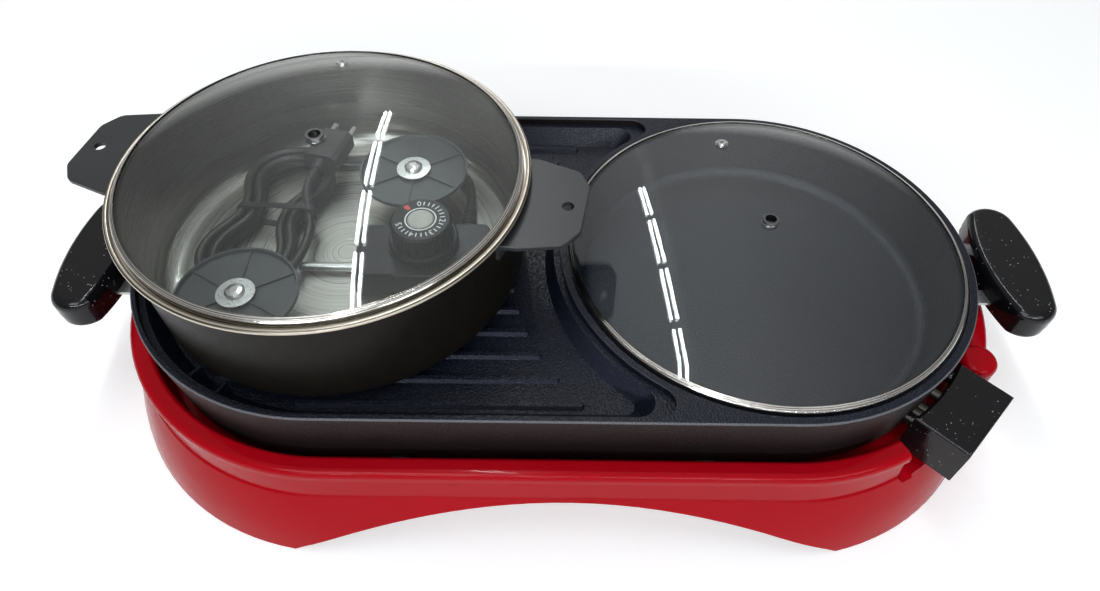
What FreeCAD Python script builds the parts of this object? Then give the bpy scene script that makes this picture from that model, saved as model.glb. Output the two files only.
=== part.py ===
import FreeCAD, Part
import math
import os

from FreeCAD import Vector, Rotation, Placement

# Electric party cooker: a red base, a long cast pan with a grill half and a round well,
# two domed glass lids, and a stock pot that rides on the grill with its loose parts packed inside.
# Millimetres. +X along the length, the well at +X, +Z up, origin under the middle of the pan.

# Pan
pan_half_pitch = 150.0
pan_radius = 148.0
pan_top_z = 118.0
pan_skirt_z = 64.0
pan_skirt_draft = 4.5
pan_wall = 3.5
pan_edge_round = 1.6

# Grill half
grill_rim_width = 3.5
grill_rim_inset_at_well = 4.0
grill_ledge_drop = 6.0
grill_ledge_width = 4.5
grill_depth = 19.0
grill_floor_inset = 9.0
grill_corner_top = 12.0
grill_corner_ledge = 11.0
grill_corner_floor = 6.0
rib_count = 14
rib_pitch = 19.3
rib_height = 3.0
rib_foot_width = 6.4
rib_crest_width = 3.2
rib_end_outset_well = 35.0
rib_end_inset_left = 22.0
rib_end_radius_well = pan_radius + rib_end_outset_well
rib_end_radius_left = pan_radius - rib_end_inset_left
mark_angles = (-126.0, -116.0)
mark_width = 1.6

# Round well
lid_seat_depth = 3.0
lid_seat_clearance = 2.0
well_mouth_inset = 11.5
well_floor_inset = 19.0
well_mouth_radius = pan_radius - well_mouth_inset
well_floor_radius = pan_radius - well_floor_inset
well_depth = 45.0
well_corner = 8.0

# Base
base_shift_x = 3.5
base_tub_gap = 4.5
base_foot_reach = 31.5
base_waist_reach = 15.0
base_neck_reach = 12.1
base_lip_reach = 13.9
base_tub_radius = pan_radius + base_tub_gap
base_foot_radius = base_tub_radius + base_foot_reach
base_waist_radius = base_tub_radius + base_waist_reach
base_neck_radius = base_tub_radius + base_neck_reach
base_lip_radius = base_tub_radius + base_lip_reach
base_waist_z = 51.5
base_groove = 1.3
base_lip_z = 82.0
base_lip_height = 8.5
base_lip_round = 5.0
base_tub_draft = 2.5
base_tub_round = 3.0
base_deck_z = 50.0
base_wall = 3.0
base_foot_z = 1.0
arch_half_width = 178.6
arch_shift_x = 10.2
arch_top_z = 50.2
arch_foot_rise = 6.0
arch_foot_bevel = 7.6
arch_inner_gap = 2.0
notch_angle = -46.5
notch_half_angle = 16.5
notch_sill_z = 56.0
notch_sill_fall = 22.0
notch_corner = 4.0
lug_radius = 13.0
lug_reach = 8.0
rest_post_radius = 6.0
rest_pad_height = 2.0
seat_gap = 0.3
foot_pad_radius = 9.0
foot_pad_inset = 16.0
deck_rib_height = 8.0
deck_rib_sheet = 2.5
deck_rib_pitch = 100.0
deck_rib_spots = [i * deck_rib_pitch for i in range(-2, 3)]
deck_rib_half_length = 120.0
rest_end_inset = 1.0
rest_spot_x = 100.0
foot_spot_angle = 55.0
boss_wall = 2.0

# Heat reflector
reflector_inset = 17.0
reflector_radius = pan_radius - reflector_inset
reflector_sheet = 0.8
reflector_rim = 7.0


def polygon_face(points):
    """A flat face in the XZ plane; a point is (x, z), an arc is given as (mid point, end point)."""
    edges = []
    last = points[0]
    for item in points[1:] + [points[0]]:
        if isinstance(item[0], tuple):
            mid, end = item
            edges.append(Part.Arc(Vector(last[0], 0, last[1]), Vector(mid[0], 0, mid[1]),
                                  Vector(end[0], 0, end[1])).toShape())
            last = end
        else:
            if abs(item[0] - last[0]) + abs(item[1] - last[1]) > 1e-6:
                edges.append(Part.LineSegment(Vector(last[0], 0, last[1]),
                                              Vector(item[0], 0, item[1])).toShape())
            last = item
    return Part.Face(Part.Wire(edges))


def revolved(points, centre=(0.0, 0.0)):
    """Turn a profile of (radius, z) round the vertical line through the centre."""
    turned = polygon_face(points).revolve(Vector(0, 0, 0), Vector(0, 0, 1), 360)
    return turned.translated(Vector(centre[0], centre[1], 0))


def stadium(points, half_pitch, centre_x=0.0):
    """A long solid with round ends, from a profile of (radius, z) closed on the axis."""
    face = polygon_face(points)
    half = face.copy()
    half.rotate(Vector(0, 0, 0), Vector(0, 0, 1), 90)
    straight = half.extrude(Vector(2 * half_pitch, 0, 0))
    other = half.mirror(Vector(0, 0, 0), Vector(0, 1, 0)).extrude(Vector(2 * half_pitch, 0, 0))
    body = straight.fuse(other).translated(Vector(-half_pitch, 0, 0))
    for side in (-1, 1):
        start = face.copy()
        start.rotate(Vector(0, 0, 0), Vector(0, 0, 1), 90)
        end = start.revolve(Vector(0, 0, 0), Vector(0, 0, 1), -180 * side)
        body = body.fuse(end.translated(Vector(side * half_pitch, 0, 0)))
    return body.removeSplitter().translated(Vector(centre_x, 0, 0))


def cylinder(radius, height, x=0.0, y=0.0, z=0.0, axis=(0, 0, 1)):
    return Part.makeCylinder(radius, height, Vector(x, y, z), Vector(*axis))


def box(x0, x1, y0, y1, z0, z1):
    return Part.makeBox(x1 - x0, y1 - y0, z1 - z0, Vector(x0, y0, z0))


def polar(centre, radius, degrees, z=0.0):
    angle = math.radians(degrees)
    return Vector(centre[0] + radius * math.cos(angle), centre[1] + radius * math.sin(angle), z)


def fused(shapes):
    shapes = list(shapes)
    if len(shapes) == 1:
        return shapes[0]
    return shapes[0].multiFuse(shapes[1:]).removeSplitter()


def export(name, shape):
    solids = shape.Solids
    bad = [s for s in solids if not s.isValid()]
    print(name, len(solids), "solids", round(shape.Volume / 1000, 2), "cm3", "BAD" if bad else "")
    if len(solids) == 1:
        shape = solids[0]
    else:
        shape = Part.makeCompound(solids)
    shape.exportStep("parts/" + name + ".step")


os.makedirs("parts", exist_ok=True)

well_centre = (pan_half_pitch, 0.0)
grill_centre = (-pan_half_pitch, 0.0)


# Grill half of the pan
def grill_outline(inset, well_radius, corner, z):
    """Closed outline: round at the left, straight sides, and a hollow end that follows the well."""
    half = pan_radius - inset
    cy = half - corner
    reach = well_radius + corner
    cx = pan_half_pitch - math.sqrt(reach ** 2 - cy ** 2)
    tangent = Vector(cx, cy, 0) + (Vector(pan_half_pitch, 0, 0) - Vector(cx, cy, 0)).normalize() * corner
    out = (Vector(cx, half, 0) - tangent)
    bulge = Vector(out.y, -out.x, 0).normalize() * corner
    if bulge.x < 0:
        bulge = bulge * -1
    tip = Vector(cx, cy, 0) + bulge
    left = -pan_half_pitch

    def at(x, y):
        return Vector(x, y, z)

    edges = [
        Part.LineSegment(at(left, half), at(cx, half)).toShape(),
        Part.Arc(at(cx, half), at(tip.x, tip.y), at(tangent.x, tangent.y)).toShape(),
        Part.Arc(at(tangent.x, tangent.y), at(pan_half_pitch - well_radius, 0),
                 at(tangent.x, -tangent.y)).toShape(),
        Part.Arc(at(tangent.x, -tangent.y), at(tip.x, -tip.y), at(cx, -half)).toShape(),
        Part.LineSegment(at(cx, -half), at(left, -half)).toShape(),
        Part.Arc(at(left, -half), at(left - half, 0), at(left, half)).toShape(),
    ]
    return Part.Wire(edges)


lid_rim_inset_well = 7.5
lid_rim_radius_well = pan_radius - lid_rim_inset_well
well_seat_radius = lid_rim_radius_well + lid_seat_clearance
grill_top_at_well = well_seat_radius + grill_rim_inset_at_well
grill_ledge_z = pan_top_z - grill_ledge_drop
grill_floor_z = pan_top_z - grill_depth


def grill_hollow(grow):
    """The room of the grill half; grow makes the block of metal that carries it."""
    top = pan_top_z + 1.0
    ledge = grill_ledge_z - grow
    floor = grill_floor_z - grow
    rim_inset = grill_rim_width - grow
    ledge_inset = rim_inset + grill_ledge_width
    floor_inset = ledge_inset + grill_floor_inset
    upper = Part.makeLoft([
        grill_outline(rim_inset, grill_top_at_well - grow, grill_corner_top, ledge),
        grill_outline(rim_inset, grill_top_at_well - grow, grill_corner_top, top)], True, True)
    lower = Part.makeLoft([
        grill_outline(floor_inset, grill_top_at_well - grow + 10.5, grill_corner_floor, floor),
        grill_outline(ledge_inset, grill_top_at_well - grow + 4.5, grill_corner_ledge, ledge)],
        True, True)
    return upper.fuse(lower)


def well_hollow(grow):
    """The room of the round well with its lid seat."""
    seat_z = pan_top_z - lid_seat_depth - grow
    floor_z = pan_top_z - well_depth - grow
    corner = well_corner + grow
    mouth = well_mouth_radius + grow
    foot = well_floor_radius + grow
    diagonal = corner * math.sqrt(0.5)
    cz = floor_z + corner
    cr = foot - corner
    return revolved([(0, floor_z), (cr, floor_z),
                     ((cr + diagonal, cz - diagonal), (foot, cz)),
                     (mouth, seat_z), (well_seat_radius + grow, seat_z),
                     (well_seat_radius + grow, pan_top_z + 1.0), (0, pan_top_z + 1.0)], well_centre)


def rib(y):
    """One grill rib: a bar with round ends and sloping flanks."""
    x0 = -pan_half_pitch - math.sqrt(rib_end_radius_left ** 2 - y ** 2)
    x1 = pan_half_pitch - math.sqrt(rib_end_radius_well ** 2 - y ** 2)
    wires = []
    for width, z in ((rib_foot_width, grill_floor_z - 0.5), (rib_crest_width, grill_floor_z + rib_height)):
        r = width / 2
        wires.append(Part.Wire([
            Part.LineSegment(Vector(x0, y - r, z), Vector(x1, y - r, z)).toShape(),
            Part.Arc(Vector(x1, y - r, z), Vector(x1 + r, y, z), Vector(x1, y + r, z)).toShape(),
            Part.LineSegment(Vector(x1, y + r, z), Vector(x0, y + r, z)).toShape(),
            Part.Arc(Vector(x0, y + r, z), Vector(x0 - r, y, z), Vector(x0, y - r, z)).toShape()]))
    return Part.makeLoft(wires, True, True)


# Pan casting
def pan_profile(inset, top_z, bottom_z, rounded):
    drop = pan_skirt_draft / (pan_top_z - pan_skirt_z)
    top = pan_radius - inset - (pan_top_z - top_z) * drop
    low = pan_radius - inset - (pan_top_z - bottom_z) * drop
    if not rounded:
        return [(0, bottom_z), (low, bottom_z), (top, top_z), (0, top_z)]
    r = pan_edge_round
    k = r * (1 - math.sqrt(0.5))
    return [(0, bottom_z), (low, bottom_z), (top - r * drop, top_z - r),
            ((top - k, top_z - k), (top - r, top_z)), (0, top_z)]


guard_angle = -45.0
guard_gap = 3.0
guard_inner_radius = pan_radius + guard_gap
wall_bore_inset = 16.0
wall_bore_length = 30.0
guard_depth = 35.0
guard_half_width = 31.0
guard_bottom_z = 58.5
guard_height = 33.5
guard_cover_height = 8.0
guard_wall = 2.5
terminal_spacing = 24.0
terminal_z = 73.0
probe_z = 66.4
guard_fix_z = 81.0
element_radius = 4.0
element_hole = 5.0
probe_radius = 3.0
probe_tube_radius = 4.2
probe_tube_bore = 3.2
probe_hole = 4.3
fix_hole = 1.7
guard_spacer_offset = 25.0


def guard_frame(shape):
    """Turn a shape drawn along +X from the well's centre to the guard box's direction."""
    turned = shape.copy()
    turned.rotate(Vector(0, 0, 0), Vector(0, 0, 1), guard_angle)
    return turned.translated(Vector(pan_half_pitch, 0, 0))


def make_pan():
    body = stadium(pan_profile(0.0, pan_top_z, pan_skirt_z, True), pan_half_pitch)
    under = stadium(pan_profile(pan_wall, pan_top_z - pan_wall, pan_skirt_z - 1.0, False), pan_half_pitch)
    under = under.cut(grill_hollow(pan_wall)).cut(well_hollow(pan_wall))
    body = body.cut(under).cut(grill_hollow(0.0)).cut(well_hollow(0.0))
    ribs = [rib((i - (rib_count - 1) / 2) * rib_pitch) for i in range(rib_count)]
    marks = []
    for angle in mark_angles:
        foot = polar(grill_centre, pan_radius - grill_rim_width - grill_ledge_width - grill_floor_inset - 1.0, angle)
        mark = box(0, grill_floor_inset + 1.0, -mark_width / 2, mark_width / 2, grill_floor_z - 0.5,
                   grill_ledge_z - 1.5)
        mark.rotate(Vector(0, 0, 0), Vector(0, 0, 1), angle)
        marks.append(mark.translated(foot))
    body = body.multiFuse(ribs + marks)
    cuts = []
    for side in (-1, 1):
        cuts.append(guard_frame(cylinder(element_hole, wall_bore_length, pan_radius - wall_bore_inset,
                                         side * terminal_spacing / 2, terminal_z, (1, 0, 0))))
        cuts.append(guard_frame(cylinder(fix_hole, wall_bore_length, pan_radius - wall_bore_inset,
                                         side * guard_spacer_offset, guard_fix_z, (1, 0, 0))))
    start = pan_radius - wall_bore_inset
    slot = cylinder(probe_hole, wall_bore_length, start, 0, probe_z, (1, 0, 0))
    slot = slot.fuse(box(start, start + wall_bore_length, -probe_hole, probe_hole, pan_skirt_z - 2.0, probe_z))
    cuts.append(guard_frame(slot))
    return body.cut(Part.makeCompound(cuts))


# Base moulding
def base_outer_profile(inset):
    lip = base_lip_radius - inset
    top = base_lip_z - inset
    r = max(base_lip_round - inset, 0.8)
    k = r * (1 - math.sqrt(0.5))
    waist = base_waist_radius - inset
    foot = base_foot_radius - inset
    neck = base_neck_radius - inset
    low = base_foot_z if inset == 0 else base_foot_z - 1.0
    mid_r = (waist + foot) / 2 + 2.0
    mid_z = (base_waist_z + base_foot_z) / 2
    return [(0, low), (foot, low), ((mid_r, mid_z), (waist, base_waist_z)),
            (waist - base_groove, base_waist_z + base_groove),
            (neck, top - base_lip_height - 1.5), (lip, top - base_lip_height),
            (lip, top - r), ((lip - k, top - k), (lip - r, top)), (0, top)]


def tub_profile(grow):
    floor_z = base_deck_z - grow
    top_r = base_tub_radius + grow
    low_r = top_r - base_tub_draft
    r = base_tub_round
    k = r * (1 - math.sqrt(0.5))
    high = base_lip_z + 1.0
    if grow > 0:
        return [(0, floor_z), (low_r, floor_z), (top_r, high), (0, high)]
    return [(0, floor_z), (low_r, floor_z), (top_r, base_lip_z - r),
            ((top_r + k, base_lip_z - k), (top_r + r, base_lip_z)), (top_r + r, high), (0, high)]


def notch_block(grow):
    """The room in the rim for the guard box: radial sides and a sill that falls outwards."""
    half = math.radians(notch_half_angle)
    r0, r1 = base_tub_radius - 12.0, base_foot_radius + 12.0
    w0, w1 = r0 * math.tan(half) + grow, r1 * math.tan(half) + grow
    high = base_lip_z + 2.0
    z0 = notch_sill_z - grow
    z1 = notch_sill_z - notch_sill_fall - grow
    sections = []
    for r, w, z in ((r0, w0, z0), (r1, w1, z1)):
        c = notch_corner
        sections.append(Part.makePolygon([
            Vector(r, -w, high), Vector(r, -w, z + c), Vector(r, -w + c, z), Vector(r, w - c, z),
            Vector(r, w, z + c), Vector(r, w, high), Vector(r, -w, high)]))
    block = Part.makeLoft(sections, True, True)
    block.rotate(Vector(0, 0, 0), Vector(0, 0, 1), notch_angle)
    return block.translated(Vector(pan_half_pitch + base_shift_x, 0, 0))


def arch_cut():
    """The long low arches between the feet, cut through the skirt at the front and the back."""
    low = base_foot_z - 6.0
    face = polygon_face([
        (-arch_half_width - arch_foot_bevel, low), (-arch_half_width - arch_foot_bevel, base_foot_z),
        (-arch_half_width, arch_foot_rise),
        ((0, arch_top_z), (arch_half_width, arch_foot_rise)),
        (arch_half_width + arch_foot_bevel, base_foot_z), (arch_half_width + arch_foot_bevel, low)])
    start = base_tub_radius + base_wall + arch_inner_gap
    through = base_foot_radius + arch_inner_gap - start
    sides = [face.extrude(Vector(0, through, 0)).translated(Vector(arch_shift_x, y, 0))
             for y in (start, -start - through)]
    return Part.makeCompound(sides)


skirt_middle = pan_radius - pan_skirt_draft - pan_wall / 2
rest_spots = [(x, side * skirt_middle) for x in (-rest_spot_x, rest_spot_x) for side in (-1, 1)]
rest_spots += [(side * (pan_half_pitch + skirt_middle - rest_end_inset), 0.0) for side in (-1, 1)]
rest_pad_top = pan_skirt_z - seat_gap
rest_post_top = rest_pad_top - rest_pad_height
foot_spots = []
for side_x in (-1, 1):
    for angle in (foot_spot_angle, -foot_spot_angle):
        centre = (base_shift_x + side_x * pan_half_pitch, 0.0)
        spot = polar(centre, base_foot_radius - foot_pad_inset - boss_wall, angle if side_x > 0 else 180.0 - angle)
        foot_spots.append((spot.x, spot.y))


def make_base():
    outer = stadium(base_outer_profile(0.0), pan_half_pitch, base_shift_x)
    inner = stadium(base_outer_profile(base_wall), pan_half_pitch, base_shift_x)
    under = inner.cut(stadium(tub_profile(base_wall), pan_half_pitch, base_shift_x)).cut(notch_block(base_wall))
    body = outer.cut(stadium(tub_profile(0.0), pan_half_pitch, base_shift_x)).cut(notch_block(0.0))
    body = body.cut(under).cut(arch_cut())
    extras = [cylinder(rest_post_radius, rest_post_top - base_deck_z + 1.0, x, y, base_deck_z - 1.0)
              for x, y in rest_spots]
    for x, y in foot_spots:
        extras.append(cylinder(foot_pad_radius + boss_wall, base_deck_z - base_foot_z - 4.0, x, y, base_foot_z + 3.0)
                      .common(outer))
    # stiffening ribs under the deck
    half = deck_rib_sheet / 2
    low = base_deck_z - base_wall - deck_rib_height
    high = base_deck_z - base_wall + 0.5
    for x in deck_rib_spots:
        extras.append(box(x - half, x + half, -deck_rib_half_length, deck_rib_half_length, low, high))
    extras.append(box(deck_rib_spots[0], deck_rib_spots[-1], -half, half, low, high))
    lug = lug_shape()
    return body.multiFuse(extras + [lug])


def lug_shape():
    """The rounded nose at the far side of the notch, standing out of the lip."""
    centre = (pan_half_pitch + base_shift_x, 0.0)
    angle = notch_angle + notch_half_angle + 3.6
    spot = polar(centre, base_lip_radius - lug_radius + lug_reach, angle)
    z0 = base_lip_z - base_lip_height - 12.0
    nose = cylinder(lug_radius, base_lip_z + 1.0 - z0, spot.x, spot.y, z0)
    rim = [e for e in nose.Edges if e.BoundBox.ZLength < 0.01 and e.Length > 10.0]
    return nose.makeFillet(5.0, rim)


def make_rest_pads():
    return [cylinder(rest_post_radius, rest_pad_height, x, y, rest_post_top) for x, y in rest_spots]


def make_foot_pads():
    return [cylinder(foot_pad_radius, base_foot_z + 3.0, x, y, 0.0) for x, y in foot_spots]


def make_reflector():
    z = base_deck_z + seat_gap
    r = reflector_radius
    t = reflector_sheet
    tray = stadium([(0, z), (r, z), (r + 3.0, z + reflector_rim), (r + 3.0 - t, z + reflector_rim),
                    (r - t, z + t), (0, z + t)], pan_half_pitch)
    return tray


# Heating element: a sheathed tube that loops under both halves and ends in the guard box
element_ring_radius = 95.0
element_gap = 0.3
element_bend = 14.0
element_climb = 42.0
element_climb_start = 62.0
element_end_reach = 12.0
element_wall_inset = 9.0
element_foot_inset = 22.0
element_end = guard_inner_radius + element_end_reach
element_wall_knee = pan_radius - element_wall_inset
element_foot_knee = pan_radius - element_foot_inset
element_entry_angle = 22.0
element_entry_run = 16.0
element_knee_radius = 7.0
pin_radius = 2.4
pin_length = 15.0
pin_end = element_end + pin_length


def rounded_path(points, radius):
    """Straight runs joined by tangent arcs."""
    edges = []
    last = points[0]
    for i in range(1, len(points) - 1):
        a, b, c = points[i - 1], points[i], points[i + 1]
        u = (a - b).normalize()
        v = (c - b).normalize()
        half = u.getAngle(v) / 2
        cut = radius / math.tan(half)
        start = b + u * cut
        end = b + v * cut
        mid = b + (u + v).normalize() * (radius / math.sin(half) - radius)
        edges.append(Part.LineSegment(last, start).toShape())
        edges.append(Part.Arc(start, mid, end).toShape())
        last = end
    edges.append(Part.LineSegment(last, points[-1]).toShape())
    return edges


def tube(edges, radius):
    """A round bar along connected edges."""
    wire = Part.Wire(edges)
    start = edges[0].valueAt(edges[0].FirstParameter)
    along = edges[0].tangentAt(edges[0].FirstParameter)
    ring = Part.Wire(Part.makeCircle(radius, start, along))
    return wire.makePipeShell([ring], True, False)


def element_side(side):
    """Half of the loop as edges, from the terminal to the left end; side is -1 at the front."""
    r = element_ring_radius
    low = pan_top_z - well_depth - pan_wall - element_gap - element_radius
    high = pan_top_z - grill_depth - pan_wall - element_gap - element_radius
    out = guard_frame(Part.Vertex(element_end, side * terminal_spacing / 2, terminal_z)).Point
    wall = guard_frame(Part.Vertex(element_wall_knee, side * terminal_spacing / 2, terminal_z)).Point
    foot = guard_frame(Part.Vertex(element_foot_knee, side * terminal_spacing / 2, low)).Point
    entry = guard_angle + side * element_entry_angle
    on_ring = polar(well_centre, r, entry, low)
    turn = Vector(0, 0, 1).cross(Vector(on_ring.x - well_centre[0], on_ring.y, 0)).normalize() * side
    knee = on_ring - turn * element_entry_run
    lead = rounded_path([out, wall, foot, knee, on_ring], element_knee_radius)
    corner = Vector(well_centre[0], side * r, low)
    middle = polar(well_centre, r, (entry + side * 90.0) / 2, low)
    ring = [Part.Arc(on_ring, middle, corner).toShape()]
    climb = rounded_path([corner, Vector(element_climb_start, side * r, low),
                          Vector(element_climb_start - element_climb, side * r, high),
                          Vector(-pan_half_pitch, side * r, high)], element_bend)
    return lead + ring + climb, high


def make_element():
    back, high = element_side(1)
    front, _ = element_side(-1)
    r = element_ring_radius
    turn = Part.Arc(Vector(-pan_half_pitch, r, high), Vector(-pan_half_pitch - r, 0, high),
                    Vector(-pan_half_pitch, -r, high)).toShape()
    edges = Part.__sortEdges__(back + [turn] + front)
    return tube(edges, element_radius)


def make_terminal_pins():
    return [guard_frame(cylinder(pin_radius, pin_end - element_end, element_end, side * terminal_spacing / 2,
                                 terminal_z, (1, 0, 0))) for side in (-1, 1)]


def make_element_clips():
    """Bent straps that hold the tube up under the casting."""
    low = pan_top_z - well_depth - pan_wall
    high = pan_top_z - grill_depth - pan_wall
    spots = [(well_centre[0] + element_ring_radius, 0.0, low, 0.0), (well_centre[0], element_ring_radius, low, 90.0),
             (well_centre[0], -element_ring_radius, low, 90.0), (-60.0, element_ring_radius, high, 90.0),
             (-60.0, -element_ring_radius, high, 90.0), (-pan_half_pitch - element_ring_radius, 0.0, high, 0.0)]
    clips = []
    for x, y, z, turn in spots:
        r = element_radius + element_gap
        drop = 2 * element_radius + 2 * element_gap
        strap = box(-r - 1.0, r + 1.0, -4.0, 4.0, -drop - 1.0, 0)
        strap = strap.cut(box(-r, r, -5.0, 5.0, -drop, 1.0))
        wings = [box(sx * (r + 5.0) - 5.0, sx * (r + 5.0) + 5.0, -4.0, 4.0, -1.0, 0.0) for sx in (-1, 1)]
        screws = [cylinder(2.6, 1.6, sx * (r + 6.0), 0, -2.6) for sx in (-1, 1)]
        clip = fused([strap] + wings + screws)
        clip = clip.cut(box(-r, r, -5.0, 5.0, -drop, 1.0))
        clip.rotate(Vector(0, 0, 0), Vector(0, 0, 1), turn)
        clips.append(clip.translated(Vector(x, y, z)))
    return clips


def make_probe_tube():
    start = well_floor_radius - well_corner + 4.0
    end = guard_inner_radius + guard_wall
    body = cylinder(probe_tube_radius, end - start, start, 0, probe_z, (1, 0, 0))
    bore = cylinder(probe_tube_bore, 60.0, start - 5.0, 0, probe_z, (1, 0, 0))
    return guard_frame(body.cut(bore)).cut(well_hollow(pan_wall + 0.05))


# Guard box round the terminals, open on its outer side
guard_edge = 1.8
guard_probe_hole = 4.3
guard_screw_head = 3.2


def guard_outline(inset, inner_inset, outer_extra):
    """Box outline seen from above: the inner side follows the pan's curve."""
    r = guard_inner_radius + inner_inset
    w = guard_half_width - inset
    far = guard_inner_radius + guard_depth + outer_extra
    x = math.sqrt(r ** 2 - w ** 2)
    edges = [Part.Arc(Vector(x, -w, 0), Vector(r, 0, 0), Vector(x, w, 0)).toShape(),
             Part.LineSegment(Vector(x, w, 0), Vector(far, w, 0)).toShape(),
             Part.LineSegment(Vector(far, w, 0), Vector(far, -w, 0)).toShape(),
             Part.LineSegment(Vector(far, -w, 0), Vector(x, -w, 0)).toShape()]
    return Part.Face(Part.Wire(edges))


def guard_slab(inset, inner_inset, outer_extra, z0, z1):
    return guard_outline(inset, inner_inset, outer_extra).extrude(Vector(0, 0, z1 - z0)).translated(Vector(0, 0, z0))


guard_split_z = guard_bottom_z + guard_height - guard_cover_height
guard_top_z = guard_bottom_z + guard_height


def guard_bore(radius, y, z):
    """A bore through the inner wall of the box."""
    return cylinder(radius, 20.0, guard_inner_radius - 11.0, y, z, (1, 0, 0))


def make_guard_lower():
    body = guard_slab(0, 0, 0, guard_bottom_z, guard_split_z)
    room = guard_slab(guard_wall, guard_wall, 5.0, guard_bottom_z + guard_wall, guard_split_z + 1.0)
    body = body.cut(room)
    cuts = []
    for side in (-1, 1):
        cuts.append(guard_bore(element_hole, side * terminal_spacing / 2, terminal_z))
        cuts.append(guard_bore(fix_hole, side * guard_spacer_offset, guard_fix_z))
    cuts.append(guard_bore(guard_probe_hole, 0, probe_z))
    return guard_frame(body.cut(Part.makeCompound(cuts)))


def make_guard_upper():
    body = guard_slab(0, 0, 0, guard_split_z, guard_top_z)
    rim = [e for e in body.Edges if e.BoundBox.ZMin > guard_top_z - 0.01]
    body = body.makeFillet(guard_edge, rim)
    room = guard_slab(guard_wall, guard_wall, 5.0, guard_split_z - 1.0, guard_top_z - guard_wall)
    body = body.cut(room)
    cuts = [guard_bore(fix_hole, side * guard_spacer_offset, guard_fix_z) for side in (-1, 1)]
    cuts.append(guard_bore(guard_probe_hole, 0, probe_z))
    return guard_frame(body.cut(Part.makeCompound(cuts)))


def make_guard_spacers():
    """Bushes between the pan wall and the box, one at each end."""
    wall_r = pan_radius - (pan_top_z - guard_fix_z) * pan_skirt_draft / (pan_top_z - pan_skirt_z)
    parts = []
    outer = stadium(pan_profile(-seat_gap, pan_top_z, pan_skirt_z, False), pan_half_pitch)
    for side in (-1, 1):
        y = side * guard_spacer_offset
        bush = cylinder(4.5, 20.0, wall_r - 10.0, y, guard_fix_z, (1, 0, 0))
        bush = bush.cut(cylinder(fix_hole, 40.0, wall_r - 20.0, y, guard_fix_z, (1, 0, 0)))
        bush = guard_frame(bush).cut(outer)
        keep = guard_frame(guard_slab(-2.0, -20.0, -guard_depth + 4.0, guard_fix_z - 10, guard_fix_z + 10)
                           .cut(guard_slab(-3.0, 0.0, 5.0, guard_fix_z - 11, guard_fix_z + 11)))
        parts.append(bush.common(keep))
    return parts


def make_guard_screws():
    parts = []
    for side in (-1, 1):
        y = side * guard_spacer_offset
        x = math.sqrt((guard_inner_radius + guard_wall) ** 2 - y ** 2)
        shank = cylinder(fix_hole - 0.15, 16.0, x - 15.0, y, guard_fix_z, (1, 0, 0))
        head = cylinder(guard_screw_head, 2.0, x + 0.9, y, guard_fix_z, (1, 0, 0))
        parts.append(guard_frame(shank.fuse(head)))
    return parts


# Pan handles
handle_top_z = 108.0
handle_thickness = 25.0
handle_gap = 15.0
handle_width = 45.0
handle_half_length = 56.0
handle_tip_radius = 18.0
handle_tip_sweep = 140.0
handle_bow_radius = 190.0
handle_round = 7.0
handle_under_round = 4.0
handle_split = 9.0
strap_offset = 24.0
strap_width = 12.0
strap_sheet = 2.5
strap_flange = 16.0
strap_rivet_rise = 9.5
strap_reach = 25.0
strap_root = 5.0


def handle_outline(inset):
    """D outline seen from above at the +X end: a bowed outer side, round tips, a hollow inner side."""
    x0 = pan_half_pitch + pan_radius + handle_gap + inset
    x1 = pan_half_pitch + pan_radius + handle_gap + handle_width - inset
    r = handle_tip_radius - inset
    bow = handle_bow_radius - inset
    side_y = (handle_half_length - handle_tip_radius) / (1 - r / bow)
    fall = bow - math.sqrt(bow ** 2 - side_y ** 2)
    lean = math.asin(side_y / bow)
    tip = Vector(x1 - fall - r * math.cos(lean), side_y - r * math.sin(lean), 0)

    def on_tip(angle, side):
        return Vector(tip.x + r * math.cos(angle), side * (tip.y + r * math.sin(angle)), 0)

    back = math.radians(handle_tip_sweep)
    middle = (lean + back) / 2
    edges = [
        Part.Arc(on_tip(lean, -1), Vector(x1, 0, 0), on_tip(lean, 1)).toShape(),
        Part.Arc(on_tip(lean, 1), on_tip(middle, 1), on_tip(back, 1)).toShape(),
        Part.Arc(on_tip(back, 1), Vector(x0, 0, 0), on_tip(back, -1)).toShape(),
        Part.Arc(on_tip(back, -1), on_tip(middle, -1), on_tip(lean, -1)).toShape()]
    return Part.Wire(edges)


def sided(shape, side):
    """The +X shape, or its copy turned half round for the -X end."""
    if side > 0:
        return shape
    turned = shape.copy()
    turned.rotate(Vector(0, 0, 0), Vector(0, 0, 1), 180)
    return turned


handle_split_z = handle_top_z - handle_thickness + handle_split
strap_z = handle_split_z - strap_sheet


def make_handle(side):
    body = Part.Face(handle_outline(0)).extrude(Vector(0, 0, handle_top_z - handle_split_z))
    body = body.translated(Vector(0, 0, handle_split_z))
    rim = [e for e in body.Edges if e.BoundBox.ZMin > handle_top_z - 0.01]
    body = body.makeFillet(handle_round, rim)
    holes = [cylinder(1.6, 8.0, pan_half_pitch + pan_radius + handle_gap + 18.0, s * strap_offset, handle_split_z)
             for s in (-1, 1)]
    return sided(body.cut(Part.makeCompound(holes)), side)


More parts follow.
